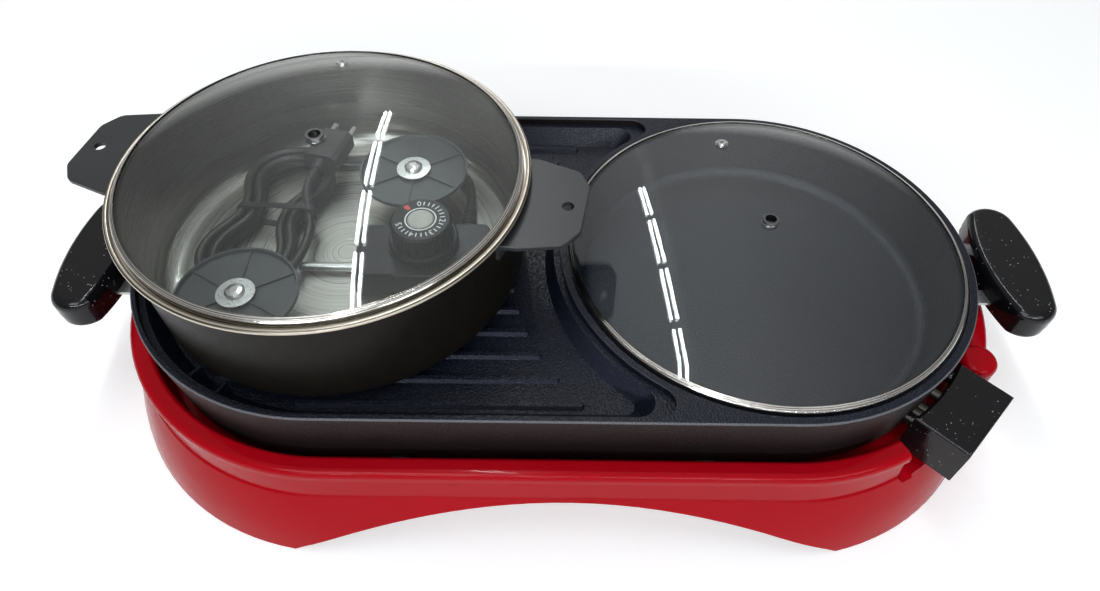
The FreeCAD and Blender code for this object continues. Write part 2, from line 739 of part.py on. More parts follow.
def make_handle_grip(side):
    """The lower half, scooped for the fingers between its two screw bosses."""
    low = handle_top_z - handle_thickness
    body = Part.Face(handle_outline(0.4)).extrude(Vector(0, 0, handle_split_z - low))
    body = body.translated(Vector(0, 0, low))
    rim = [e for e in body.Edges if e.BoundBox.ZMax < low + 0.01]
    body = body.makeFillet(handle_under_round, rim)
    x = pan_half_pitch + pan_radius + handle_gap
    cuts = [cylinder(60.0, 80.0, x + 8.0, 0, low - 60.0 + 4.0, (1, 0, 0))]
    for s in (-1, 1):
        y = s * strap_offset
        cuts.append(box(x - 1.0, x + strap_reach + 2.0, y - strap_width / 2 - seat_gap, y + strap_width / 2 + seat_gap,
                        strap_z - seat_gap, handle_split_z + 1.0))
        cuts.append(cylinder(1.9, 20.0, x + 18.0, y, low - 1.0))
        cuts.append(cylinder(3.6, 3.5, x + 18.0, y, low - 0.5))
    return sided(body.cut(Part.makeCompound(cuts)), side)


def make_handle_straps(side):
    """Two bent steel straps from the pan's end wall into the handle."""
    wall = stadium(pan_profile(0.0, pan_top_z, pan_skirt_z, False), pan_half_pitch)
    x = pan_half_pitch + pan_radius + handle_gap
    parts = []
    for s in (-1, 1):
        y = s * strap_offset
        plate = box(x - handle_gap - strap_root, x + strap_reach, y - strap_width / 2, y + strap_width / 2,
                    strap_z, handle_split_z)
        plate = plate.cut(cylinder(1.9, 20.0, x + 18.0, y, strap_z - 5.0))
        shell = stadium(pan_profile(-strap_sheet, pan_top_z, pan_skirt_z, False), pan_half_pitch).cut(wall)
        foot = shell.common(box(x - handle_gap - 4 * strap_root, x, y - strap_width / 2, y + strap_width / 2, strap_z,
                                strap_z + strap_flange))
        plate = plate.cut(stadium(pan_profile(0.0, pan_top_z, pan_skirt_z, False), pan_half_pitch))
        rivet = cylinder(2.6, 6.0, x - handle_gap - 2.5, y, strap_z + strap_rivet_rise, (1, 0, 0))
        rivet = rivet.cut(wall)
        parts.append(sided(fused([plate, foot, rivet]), side))
    return parts


def make_handle_screws(side):
    low = handle_top_z - handle_thickness
    x = pan_half_pitch + pan_radius + handle_gap + 18.0
    parts = []
    for s in (-1, 1):
        head = cylinder(3.2, 2.0, x, s * strap_offset, low + 1.0)
        shank = cylinder(1.45, 14.0, x, s * strap_offset, low + 2.5)
        parts.append(sided(head.fuse(shank), side))
    return parts


# Glass lids
lid_rise = 24.0
glass_thickness = 4.0
band_sheet = 0.8
band_width = 3.2
band_gap = 0.1
knob_hole_radius = 5.4
eyelet_bore_radius = 4.0
eyelet_flange = 0.9
eyelet_sheet = 0.8
vent_offset = 98.0
vent_hole_radius = 3.2
vent_bore_radius = 1.2
vent_flange_radius = 5.0

pot_shift_x = -2.5
pot_shift_y = 2.0
pot_centre = (pot_shift_x - pan_half_pitch, pot_shift_y)
pot_turn = -9.5
pot_bottom_z = pan_top_z - grill_depth + rib_height + seat_gap
pot_height = 82.6
pot_foot_radius = 128.6
pot_wall_lean = 0.8
pot_mouth_radius = pot_foot_radius + pot_wall_lean
pot_lid_seat_reach = 1.6
pot_lid_rim_radius = pot_mouth_radius + pot_lid_seat_reach
pot_sheet = 1.4
pot_corner = 14.0
pot_seat_drop = 2.6
pot_seat_width = 3.0
pot_flange_width = 2.2
pot_bead_radius = 1.3
pot_rim_z = pot_bottom_z + pot_height


def glass_height(radius, edge_radius, edge_z):
    """Height of the dome's lower face over a point at this radius."""
    ball = (edge_radius ** 2 + lid_rise ** 2) / (2 * lid_rise)
    return edge_z + lid_rise - ball + math.sqrt(ball ** 2 - radius ** 2)


def glass_profile(edge_radius, edge_z, hole, grow):
    low = edge_z - grow
    thick = glass_thickness + 2 * grow
    r = edge_radius + grow

    def height(x):
        return glass_height(x, edge_radius + 1.0, low)

    mid = (r + hole) / 2
    return [(hole, height(hole)), ((mid, height(mid)), (r, height(r))), (r, height(r) + thick),
            ((mid, height(mid) + thick), (hole, height(hole) + thick))]


def make_lid(centre, rim_radius, seat_z, vent_angle):
    """Glass, steel band, knob hole eyelet and steam vent eyelet of one lid."""
    edge_z = seat_z + seat_gap + band_sheet
    edge_radius = rim_radius - band_sheet - band_gap
    glass = revolved(glass_profile(edge_radius, edge_z, knob_hole_radius, 0.0), centre)
    slope = 2 * lid_rise / edge_radius
    inner = rim_radius - band_width
    lift = slope * band_width
    low = edge_z - band_sheet
    top = edge_z + glass_thickness + band_sheet
    band = revolved([(inner, low + lift), (rim_radius - 1.4, low), (rim_radius, low + 1.0),
                     (rim_radius, top - 1.2), (rim_radius - 1.0, top), (inner, top + lift)], centre)
    band = band.cut(revolved(glass_profile(edge_radius, edge_z, 20.0, band_gap), centre))
    at = polar(centre, vent_offset, vent_angle)
    middle = glass_height(vent_offset, edge_radius + 1.0, edge_z)
    tilt = math.degrees(math.atan(slope * vent_offset / edge_radius))

    def at_vent(shape):
        shape.rotate(Vector(0, 0, 0), Vector(0, 1, 0), tilt)
        shape.rotate(Vector(0, 0, 0), Vector(0, 0, 1), vent_angle)
        return shape.translated(Vector(at.x, at.y, middle))

    glass = glass.cut(at_vent(cylinder(vent_hole_radius, 30.0, z=-15.0)))
    t = glass_thickness
    vent = revolved([(vent_bore_radius, -0.9), (vent_flange_radius - 0.6, -0.9), (vent_flange_radius, -0.1),
                     (vent_hole_radius - 0.1, -0.1), (vent_hole_radius - 0.1, t + 0.1),
                     (vent_flange_radius, t + 0.1), (vent_flange_radius - 0.8, t + 1.0),
                     (vent_bore_radius, t + 0.6)])
    vent = at_vent(vent)
    hub = glass_height(knob_hole_radius, edge_radius + 1.0, edge_z)
    g = band_gap
    e = eyelet_sheet
    r = knob_hole_radius - g
    f = knob_hole_radius + eyelet_flange
    eyelet = revolved([(eyelet_bore_radius, hub - g - e), (f, hub - g - e), (f, hub - g - 0.1), (r, hub - g),
                       (r, hub + t + g), (f, hub + t + g), (f - 0.4, hub + t + g + e),
                       (eyelet_bore_radius, hub + t + g + e)], centre)
    return glass, band, eyelet, vent


# Stock pot
def pot_profile(inset):
    """Outside of the pot's wall, or its inside when inset is the sheet."""
    z0 = pot_bottom_z + inset
    foot = pot_foot_radius + pot_sheet - inset
    mouth = pot_mouth_radius + pot_sheet - inset
    c = pot_corner - inset
    k = c * (1 - math.sqrt(0.5))
    seat_z = pot_rim_z - pot_seat_drop
    return z0, foot, mouth, c, k, seat_z


def make_pot():
    z0, foot, mouth, c, k, seat = pot_profile(0.0)
    i0, ifoot, imouth, ic, ik, _ = pot_profile(pot_sheet)
    step = imouth + pot_seat_width
    lip = step + pot_flange_width
    s = pot_sheet
    b = pot_bead_radius
    outside = [(0, z0), (foot - c, z0), ((foot - k, z0 + k), (foot, z0 + c)), (mouth, seat - s),
               (step + s, seat - s), (step + s, pot_rim_z - s), (lip - b, pot_rim_z - s - 1.4),
               ((lip + b, pot_rim_z - b), (lip - b, pot_rim_z)), (step, pot_rim_z), (step, seat), (imouth, seat),
               (ifoot, i0 + ic), ((ifoot - ik, i0 + ik), (ifoot - ic, i0)), (0, i0)]
    body = revolved(outside, pot_centre)
    return body


ear_z = 178.0
ear_sheet = 3.0
ear_length = 44.6
ear_shoulder_out = 36.0
ear_hole_out = 33.0
ear_reach = pot_mouth_radius + ear_length
ear_shoulder = pot_mouth_radius + ear_shoulder_out
ear_hole_offset = pot_mouth_radius + ear_hole_out
ear_root_half = 42.0
ear_shoulder_half = 34.5
ear_tip_half = 21.0
ear_flange = 13.0
ear_flange_sheet = 2.0
ear_hole_radius = 4.0
ear_corner = 9.0
rivet_offset = 26.0
rivet_radius = 2.2


def pot_frame(shape, side):
    turned = shape.copy()
    turned.rotate(Vector(0, 0, 0), Vector(0, 0, 1), pot_turn + (0 if side > 0 else 180))
    return turned.translated(Vector(pot_centre[0], pot_centre[1], 0))


def pot_wall_radius(z):
    """Outer radius of the pot's wall at this height."""
    z0, foot, mouth, c, _, seat = pot_profile(0.0)
    return foot + (mouth - foot) * (z - z0 - c) / (seat - pot_sheet - z0 - c)


def make_ear(side):
    """A flat lug with a hanging hole, and a curved flange that is riveted to the wall."""
    r = pot_wall_radius(ear_z)
    x0 = r - 8.0
    corners = [(x0, -ear_root_half), (r + 6.0, -ear_root_half), (ear_shoulder, -ear_shoulder_half),
               (ear_reach, -ear_tip_half), (ear_reach, ear_tip_half), (ear_shoulder, ear_shoulder_half),
               (r + 6.0, ear_root_half), (x0, ear_root_half)]
    plate = Part.Face(Part.makePolygon([Vector(x, y, ear_z - ear_sheet) for x, y in corners + corners[:1]]))
    plate = plate.extrude(Vector(0, 0, ear_sheet))
    uprights = [e for e in plate.Edges if e.BoundBox.ZLength > ear_sheet - 0.1 and e.BoundBox.XMin > ear_shoulder - 1]
    plate = plate.makeFillet(ear_corner, uprights)
    edge = [e for e in plate.Edges if e.BoundBox.ZMin > ear_z - 0.01 and e.BoundBox.XMax > r + 5.0]
    plate = plate.makeFillet(0.8, edge)
    plate = plate.cut(cylinder(ear_hole_radius, 10.0, ear_hole_offset, 0, ear_z - 5.0))
    face = r + 0.05
    ring = cylinder(face + ear_flange_sheet, ear_flange, z=ear_z - ear_flange).cut(
        cylinder(face, ear_flange + 2.0, z=ear_z - ear_flange - 1.0))
    flange = ring.common(box(r * 0.7, r + ear_flange, -ear_root_half, ear_root_half, ear_z - ear_flange, ear_z))
    plate = plate.cut(cylinder(face, 20.0, z=ear_z - 10.0))
    holes = [cylinder(rivet_radius + 0.05, 20.0, *rivet_place(s)[:3], axis=rivet_place(s)[3]) for s in (-1, 1)]
    return pot_frame(plate.fuse(flange).removeSplitter().cut(Part.makeCompound(holes)), side)


def rivet_place(s):
    """Start and direction of one rivet through the flange."""
    angle = math.asin(rivet_offset / pot_mouth_radius) * s
    d = (math.cos(angle), math.sin(angle), 0)
    r = pot_wall_radius(ear_z) + 0.05
    return r * d[0], r * d[1], ear_z - ear_sheet - 5.0, d


def make_ear_rivets():
    parts = []
    for side in (-1, 1):
        for s in (-1, 1):
            x, y, z, d = rivet_place(s)
            shank = cylinder(rivet_radius, ear_flange_sheet + 0.3, x, y, z, d)
            head = Part.makeSphere(rivet_radius * 1.7, Vector(x + d[0] * 0.6, y + d[1] * 0.6, z))
            out = ear_flange_sheet + 0.1
            keep = cylinder(20.0, 20.0, x + d[0] * out, y + d[1] * out, z, d)
            parts.append(pot_frame(shank.fuse(head.common(keep)), side))
    return parts


# Thermostat plug, laid on the pot's floor with its nose to -X
pot_floor_z = pot_bottom_z + pot_sheet
case_z = pot_floor_z + seat_gap
case_nose_x = -138.7
case_nose_length = 25.0
case_length = 92.0
case_width = 51.0
case_nose_width = 47.0
case_mid_y = -17.5
case_height = 24.0
case_split = 12.0
case_round = 6.0
case_edge = 1.5
probe_reach = 44.0
plugged_z = guard_bottom_z + guard_wall + 1.0
socket_radius = 3.4
socket_bore = pin_radius + 0.1
socket_depth = 18.0
dial_x = -92.0
dial_y = -11.0
dial_radius = 21.0
dial_skirt_radius = 24.0
dial_skirt_height = 5.0
dial_height = 21.0
dial_gap = 0.4
dial_shaft_radius = 4.0
dial_shaft_clearance = 0.06
dial_cap_radius = 9.0
dial_flutes = 24
relief_x = -64.0
relief_length = 28.0
relief_z = case_z + 10.0
cord_radius = 3.4


def rounded_plan(x0, x1, y0, y1, r, z0, z1):
    slab = box(x0, x1, y0, y1, z0, z1)
    uprights = [e for e in slab.Edges if e.BoundBox.ZLength > abs(z1 - z0) - 0.1]
    return slab.makeFillet(r, uprights)


def case_block(z0, z1):
    x1 = case_nose_x + case_length
    step = case_nose_x + case_nose_length
    body = rounded_plan(step, x1, case_mid_y - case_width / 2, case_mid_y + case_width / 2, case_round, z0, z1)
    nose = rounded_plan(case_nose_x, step + case_round + 2.0, case_mid_y - case_nose_width / 2,
                        case_mid_y + case_nose_width / 2, 2.0, z0, z1)
    return body.fuse(nose).removeSplitter()


def case_holes():
    cuts = []
    for side in (-1, 1):
        cuts.append(cylinder(socket_radius, socket_depth, case_nose_x - 1.0, case_mid_y + side *
                             terminal_spacing / 2, case_z + terminal_z - plugged_z, (1, 0, 0)))
    cuts.append(cylinder(probe_radius + 0.1, 22.0, case_nose_x - 1.0, case_mid_y, case_z + probe_z - plugged_z,
                         (1, 0, 0)))
    cuts.append(cylinder(dial_shaft_radius + dial_shaft_clearance, 20.0, dial_x, dial_y,
                         case_z + case_height - 12.0))
    cuts.append(cylinder(5.0, 6.0, relief_x, case_mid_y + case_width / 2 - 5.0, relief_z, (0, 1, 0)))
    return Part.makeCompound(cuts)


def make_case_lower():
    body = case_block(case_z, case_z + case_split)
    rim = [e for e in body.Edges if e.BoundBox.ZMax < case_z + 0.01]
    return body.makeFillet(case_edge, rim).cut(case_holes())


def make_case_upper():
    body = case_block(case_z + case_split, case_z + case_height)
    rim = [e for e in body.Edges if e.BoundBox.ZMin > case_z + case_height - 0.01]
    body = body.makeFillet(case_edge, rim)
    plinth = cylinder(dial_skirt_radius + 1.0, 1.2, dial_x, dial_y, case_z + case_height - 0.2)
    return body.fuse(plinth).cut(case_holes())


dial_base_z = case_z + case_height + 1.0 + dial_gap


def make_dial():
    """Control knob: skirt, fluted grip and a recess for the cap, on its own shaft."""
    z = dial_base_z
    top = z + dial_height
    body = revolved([(0, z), (dial_skirt_radius - 1.0, z), (dial_skirt_radius, z + 1.0),
                     (dial_skirt_radius, z + dial_skirt_height - 1.0),
                     (dial_skirt_radius - 1.0, z + dial_skirt_height), (dial_radius, z + dial_skirt_height),
                     (dial_radius, top - 1.5), (dial_radius - 1.5, top), (dial_cap_radius + 0.1, top),
                     (dial_cap_radius + 0.1, top - 1.5), (0, top - 1.5)], (dial_x, dial_y))
    flutes = []
    for i in range(dial_flutes):
        spot = polar((dial_x, dial_y), dial_radius + 0.7, 360.0 * i / dial_flutes)
        flutes.append(cylinder(1.2, dial_height - dial_skirt_height - 3.5, spot.x, spot.y, z + dial_skirt_height))
    shaft = cylinder(dial_shaft_radius, 11.0 + dial_gap + 1.0, dial_x, dial_y, z - 11.0 - dial_gap - 1.0 + 0.5)
    return body.cut(Part.makeCompound(flutes)).fuse(shaft)


def make_dial_cap():
    z = dial_base_z + dial_height - 1.5
    return revolved([(0, z + 0.05), (dial_cap_radius, z + 0.05), (dial_cap_radius, z + 1.4),
                     (dial_cap_radius - 0.8, z + 2.0), (0, z + 2.3)], (dial_x, dial_y))


def make_probe_rod():
    z = case_z + probe_z - plugged_z
    rod = cylinder(probe_radius, probe_reach + 20.0, case_nose_x - probe_reach, case_mid_y, z, (1, 0, 0))
    tip = [e for e in rod.Edges if e.BoundBox.XMax < case_nose_x - probe_reach + 0.01]
    return rod.makeFillet(1.4, tip)


def make_contact_sleeves():
    parts = []
    for side in (-1, 1):
        y = case_mid_y + side * terminal_spacing / 2
        z = case_z + terminal_z - plugged_z
        sleeve = cylinder(socket_radius - 0.1, socket_depth - 1.5, case_nose_x + 0.3, y, z, (1, 0, 0))
        parts.append(sleeve.cut(cylinder(socket_bore, socket_depth - 3.5, case_nose_x, y, z, (1, 0, 0))))
    return parts


def make_relief():
    """Tapered boot where the cord leaves the case."""
    y = case_mid_y + case_width / 2
    boot = Part.makeCone(6.4, cord_radius + 0.9, relief_length, Vector(relief_x, y, relief_z), Vector(0, 1, 0))
    root = cylinder(4.8, 4.5, relief_x, y - 4.5, relief_z, (0, 1, 0))
    rings = []
    for i in range(5):
        at = y + 5.0 + i * 4.4
        rings.append(cylinder(9.0, 1.2, relief_x, at, relief_z, (0, 1, 0)).cut(
            cylinder(5.2 - i * 0.35, 3.0, relief_x, at - 0.6, relief_z, (0, 1, 0))))
    return boot.fuse(root).cut(Part.makeCompound(rings))


# Cord: a lead from the case, a tied hank, and the run to the plug
hank_centre = (-211.8, 29.4)
hank_angle = 80.0
hank_half = 40.0
hank_lanes_left = (-33.0, -24.0)
hank_lanes_right = (28.5, 19.5, 37.5)
hank_waist = 11.0
hank_entry_lane = 37.0
cord_end_run = 8.0
tie_sheet = 0.8
tie_width = 5.0
layer_pitch = 2 * cord_radius + 0.6
layer_1 = pot_floor_z + 2 * seat_gap + tie_sheet + cord_radius
layer_2 = layer_1 + layer_pitch


def hank_point(s, t, z):
    a = math.radians(hank_angle)
    return Vector(hank_centre[0] + s * math.cos(a) + t * math.sin(a),
                  hank_centre[1] + s * math.sin(a) - t * math.cos(a), z)


def run_edges(lane, direction, z0, z1):
    """One run of the hank, drawn in at the waist by four equal arcs."""
    inward = hank_waist if lane < 0 else -hank_waist
    half, shift = hank_half, inward
    marks = [(0.0, 0.0), (half / 2, shift / 2), (half, shift), (3 * half / 2, shift / 2), (2 * half, 0.0)]
    bow = math.atan(shift / half)
    radius = half / 2 / math.sin(2 * bow) if abs(bow) > 1e-9 else 0
    edges = []
    for i in range(4):
        (u0, v0), (u1, v1) = marks[i], marks[i + 1]
        centre_u = 0.0 if i == 0 else (half if i in (1, 2) else 2 * half)
        sign = 1 if i in (0, 3) else -1
        base = 0.0 if sign > 0 else shift
        mid_u = (u0 + u1) / 2
        depth = radius - math.copysign(1, radius) * math.sqrt(radius ** 2 - (mid_u - centre_u) ** 2)
        mid_v = base + sign * depth
        points = []
        for u, v in ((u0, v0), (mid_u, mid_v), (u1, v1)):
            z = z0 + (z1 - z0) * (1 - math.cos(math.pi * u / (2 * half))) / 2 if z0 != z1 else z0
            s = half - u if direction < 0 else u - half
            points.append(hank_point(s, lane + v, z))
        edges.append(Part.Arc(*points).toShape())
    return edges


def fold_edges(t0, t1, end, z):
    """A half turn from lane t0 to lane t1 at the upper or lower end, as two quarter arcs."""
    middle, r = (t0 + t1) / 2, abs(t1 - t0) / 2
    k = math.sqrt(0.5)
    points = []
    for angle in (0, 45, 90, 135, 180):
        a = math.radians(angle)
        points.append(hank_point(end * (hank_half + r * math.sin(a)), middle + (t0 - middle) * math.cos(a), z))
    return [Part.Arc(points[0], points[1], points[2]).toShape(), Part.Arc(points[2], points[3], points[4]).toShape()]


def entry_point(along):
    """Where the lead comes into the hank: the crown of the first fold, or a point before it."""
    middle = (hank_entry_lane + hank_lanes_left[0]) / 2
    reach = (hank_entry_lane - hank_lanes_left[0]) / 2
    return hank_point(hank_half + reach, middle + along, layer_1)


def hank_edges():
    left_out, left_in = hank_lanes_left
    right_out, right_in, right_last = hank_lanes_right
    edges = [Part.LineSegment(entry_point(cord_end_run), entry_point(0.0)).toShape()]
    edges += fold_edges(hank_entry_lane, left_out, 1, layer_1)[1:]
    edges += run_edges(left_out, -1, layer_1, layer_1)
    edges += fold_edges(left_out, right_out, -1, layer_1)
    edges += run_edges(right_out, 1, layer_1, layer_1)
    edges += fold_edges(right_out, left_in, 1, layer_1)
    edges += run_edges(left_in, -1, layer_1, layer_1)
    edges += fold_edges(left_in, right_in, -1, layer_1)
    edges += run_edges(right_in, 1, layer_1, layer_2)
    edges += fold_edges(right_in, left_in, 1, layer_2)
    edges += run_edges(left_in, -1, layer_2, layer_2)
    edges += fold_edges(left_in, right_out, -1, layer_2)
    edges += run_edges(right_out, 1, layer_2, layer_2)
    edges += fold_edges(right_out, left_out, 1, layer_2)
    edges += run_edges(left_out, -1, layer_2, layer_2)
    edges += fold_edges(left_out, right_last, -1, layer_2)
    edges.append(Part.LineSegment(hank_point(-hank_half, right_last, layer_2),
                                  hank_point(cord_end_run - hank_half, right_last, layer_2)).toShape())
    return edges


def least_self_gap(edges, radius):
    """Smallest air gap between stretches of the tube that lie apart along it."""
    points = []
    for edge in edges:
        count = max(4, int(edge.Length / 4.0))
        points += edge.discretize(Number=count)[:-1]
    best = 1e9
    skip = 12
    for i in range(0, len(points)):
        for j in range(i + skip, len(points)):
            d = points[i].distanceToPoint(points[j])
            best = min(best, d)
    return best - 2 * radius


def routed(points):
    """Straight runs joined by arcs as large as the shorter run allows; prints the radii."""
    edges = []
    last = points[0]
    radii = []
    for i in range(1, len(points) - 1):
        a, b, c = points[i - 1], points[i], points[i + 1]
        u, v = (a - b), (c - b)
        cut = 0.45 * min(u.Length, v.Length)
        u.normalize()
        v.normalize()
        half = u.getAngle(v) / 2
        radius = cut * math.tan(half)
        radii.append(round(radius, 1))
        start, end = b + u * cut, b + v * cut
        mid = b + (u + v).normalize() * (radius / math.sin(half) - radius)
        edges.append(Part.LineSegment(last, start).toShape())
        edges.append(Part.Arc(start, mid, end).toShape())
        last = end
    edges.append(Part.LineSegment(last, points[-1]).toShape())
    print("cord bend radii", radii)
    return edges


relief_end_y = case_mid_y + case_width / 2 + relief_length
floor_cord_z = pot_floor_z + seat_gap + cord_radius
lead_points = [
    Vector(relief_x, relief_end_y, relief_z), Vector(relief_x, 56.0, relief_z), Vector(-72.0, 82.0, 108.5),
    Vector(-99.0, 101.0, floor_cord_z), Vector(-134.0, 104.0, floor_cord_z), entry_point(33.0),
    entry_point(cord_end_run)]
plug_length = 32.0
plug_width = 26.0
plug_height = 16.0
plug_relief = 8.0
plug_pin_radius = 2.4
plug_pin_length = 14.0
plug_pin_spacing = 16.0
plug_z = layer_2 + cord_radius + seat_gap + plug_height / 2
plug_lead_points = [
    hank_point(cord_end_run - hank_half, hank_lanes_right[2], layer_2),
    hank_point(-16.0, hank_lanes_right[2], layer_2), hank_point(2.0, 30.0, layer_2 + 6.0),
    hank_point(20.0, 21.0, plug_z), hank_point(38.6, 22.3, plug_z)]


def plug_place(shape):
    """Move a shape drawn along +X from the cord's end to where the plug lies."""
    turned = shape.copy()
    away = plug_lead_points[-1] - plug_lead_points[-2]
    turned.rotate(Vector(0, 0, 0), Vector(0, 0, 1), math.degrees(math.atan2(away.y, away.x)))
    return turned.translated(plug_lead_points[-1])


def make_plug_body():
    h = plug_height / 2
    w = plug_width / 2
    body = box(plug_relief, plug_relief + plug_length, -w, w, -h, h)
    body = body.makeChamfer(3.0, [e for e in body.Edges if e.BoundBox.XLength > plug_length - 0.1])
    boot = Part.makeCone(cord_radius + 0.8, 6.0, plug_relief + 1.0, Vector(0, 0, 0), Vector(1, 0, 0))
    holes = [cylinder(plug_pin_radius, 6.0, plug_relief + plug_length - 6.0, s * plug_pin_spacing / 2, 0,
                      (1, 0, 0)) for s in (-1, 1)]
    return plug_place(body.fuse(boot).removeSplitter().cut(Part.makeCompound(holes)))


def make_plug_pins():
    parts = []
    for s in (-1, 1):
        pin = cylinder(plug_pin_radius - 0.05, plug_pin_length + 5.5, plug_relief + plug_length - 5.5,
                       s * plug_pin_spacing / 2, 0, (1, 0, 0))
        parts.append(plug_place(pin))
    return parts


def hull(points):
    """Smallest outline round the points, anticlockwise."""
    points = sorted(points)
    sides = []
    for line in (points, points[::-1]):
        side = []
        for p in line:
            while len(side) > 1 and ((side[-1][0] - side[-2][0]) * (p[1] - side[-2][1])
                                     - (side[-1][1] - side[-2][1]) * (p[0] - side[-2][0])) <= 0:
                side.pop()
            side.append(p)
        sides += side[:-1]
    return sides


def make_tie():
    """Flat band drawn round the hank's waist and the run that climbs over it."""
    rounds = [(hank_lanes_left[0] + hank_waist, layer_1, 0.0), (hank_lanes_left[0] + hank_waist, layer_2, 0.0),
              (hank_lanes_right[0] - hank_waist, layer_1, 0.0), (hank_lanes_right[0] - hank_waist, layer_2, 0.0),
              (30.8, layer_2 + 5.3, 1.8)]
    points = []
    for t, z, extra in rounds:
        r = cord_radius + seat_gap + extra
        for i in range(24):
            a = math.radians(15.0 * i)
            points.append((round(t + r * math.cos(a), 4), round(z + r * math.sin(a), 4)))
    outline = hull(points)
    wire = Part.makePolygon([Vector(0, t, z) for t, z in outline + outline[:1]])
    inner = Part.Face(wire).extrude(Vector(tie_width, 0, 0))
    outer = Part.Face(wire.makeOffset2D(tie_sheet)).extrude(Vector(tie_width, 0, 0))
    band = outer.cut(inner).translated(Vector(-tie_width / 2, 0, 0))
    band = band.mirror(Vector(0, 0, 0), Vector(0, 1, 0))
    band.rotate(Vector(0, 0, 0), Vector(0, 0, 1), hank_angle)
    return band.translated(Vector(hank_centre[0], hank_centre[1], 0))


# Lid knobs, packed upside down on the pot's floor
knob_spots = ((-207.0, -65.2), (-107.0, 58.0))
knob_radius = 40.0
knob_grip_radius = 16.0
knob_height = 31.0
knob_disc_z = 26.0
washer_radius = 12.5
knob_screw_radius = 2.8
knob_rib_count = 6


def make_knob(spot):
    z = pot_floor_z + seat_gap
    g = knob_grip_radius
    d = z + knob_disc_z
    body = revolved([(0, z), (g - 3.5, z), ((g - 1.0, z + 1.0), (g, z + 3.5)), (g - 2.5, z + 14.0),
                     (g - 4.0, d - 4.0), ((g - 2.0, d - 1.0), (g + 3.0, d)), (knob_radius - 3.0, d + 0.6),
                     (knob_radius, d + 2.6), (knob_radius, d + 5.6), (knob_radius - 1.4, d + 5.6),
                     (knob_radius - 2.4, d + 3.2), (11.5, d + 3.0), (11.0, z + knob_height), (0, z + knob_height)],
                    spot)
    ribs = []
    for i in range(knob_rib_count):
        bar = box(9.0, knob_radius - 2.0, -0.7, 0.7, d + 2.5, d + 4.4)
        bar.rotate(Vector(0, 0, 0), Vector(0, 0, 1), 30.0 + 360.0 * i / knob_rib_count)
        ribs.append(bar.translated(Vector(spot[0], spot[1], 0)))
    body = body.multiFuse(ribs)
    return body.cut(cylinder(knob_screw_radius + 0.1, 14.0, spot[0], spot[1], z + knob_height - 12.0))


def make_knob_washers():
    z = pot_floor_z + seat_gap + knob_height
    return [revolved([(knob_screw_radius + 0.4, z), (washer_radius, z), (washer_radius, z + 0.8),
                      (knob_screw_radius + 0.4, z + 1.2)], spot) for spot in knob_spots]


def make_knob_screws():
    z = pot_floor_z + seat_gap + knob_height + 1.2
    parts = []
    for x, y in knob_spots:
        head = revolved([(0, z), (6.5, z), (6.5, z + 1.2), (5.2, z + 2.4), (2.6, z + 3.0), (0, z + 3.0)], (x, y))
        parts.append(head.fuse(cylinder(knob_screw_radius, 12.2, x, y, z - 12.0)))
    return parts


export("pan_casting", make_pan())
export("base_shell", make_base())
export("pan_rest_pads", Part.makeCompound(make_rest_pads()))
export("foot_pads", Part.makeCompound(make_foot_pads()))
export("heat_reflector", make_reflector())
export("heating_element", make_element())
export("terminal_pins", Part.makeCompound(make_terminal_pins()))
export("element_clips", Part.makeCompound(make_element_clips()))
export("probe_tube", make_probe_tube())
export("guard_lower", make_guard_lower())
export("guard_upper", make_guard_upper())
export("guard_spacers", Part.makeCompound(make_guard_spacers()))
export("guard_screws", Part.makeCompound(make_guard_screws()))
for side, label in ((-1, "left"), (1, "right")):
    export("handle_" + label, make_handle(side))
    export("handle_grip_" + label, make_handle_grip(side))
export("handle_straps", Part.makeCompound(make_handle_straps(-1) + make_handle_straps(1)))
export("handle_screws", Part.makeCompound(make_handle_screws(-1) + make_handle_screws(1)))
pot_seat_z = pot_rim_z - pot_seat_drop
lids = (("well", well_centre, lid_rim_radius_well, pan_top_z - lid_seat_depth, 101.0),
        ("pot", pot_centre, pot_lid_rim_radius, pot_seat_z, 92.0))
for label, centre, rim_radius, seat_z, vent_angle in lids:
    glass, band, eyelet, vent = make_lid(centre, rim_radius, seat_z, vent_angle)
    export(label + "_lid_glass", glass)
    export(label + "_lid_band", band)
    export(label + "_lid_eyelet", eyelet)
    export(label + "_lid_vent", vent)
export("pot_body", make_pot())
export("pot_ear_left", make_ear(-1))
export("pot_ear_right", make_ear(1))
export("pot_ear_rivets", Part.makeCompound(make_ear_rivets()))
export("case_lower", make_case_lower())
export("case_upper", make_case_upper())
export("control_dial", make_dial())
export("dial_cap", make_dial_cap())
export("probe_rod", make_probe_rod())
export("contact_sleeves", Part.makeCompound(make_contact_sleeves()))
export("strain_relief", make_relief())
hank = hank_edges()
lead = routed(lead_points)
plug_lead = routed(plug_lead_points)
for label, edges in (("cord_lead", lead), ("cord_hank", hank), ("cord_plug_lead", plug_lead)):
    shape = tube(edges, cord_radius)
    length = sum(e.Length for e in edges)
    print(label, "length", round(length, 1), "volume ratio",
          round(shape.Volume / (math.pi * cord_radius ** 2 * length), 4))
    export(label, shape)
print("hank least gap to itself", round(least_self_gap(hank, cord_radius), 2))
export("cord_tie", make_tie())
export("plug_body", make_plug_body())
export("plug_pins", Part.makeCompound(make_plug_pins()))
export("lid_knob_1", make_knob(knob_spots[0]))
export("lid_knob_2", make_knob(knob_spots[1]))
export("knob_washers", Part.makeCompound(make_knob_washers()))
export("knob_screws", Part.makeCompound(make_knob_screws()))
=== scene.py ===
import math

import bpy
from mathutils import Matrix, Vector


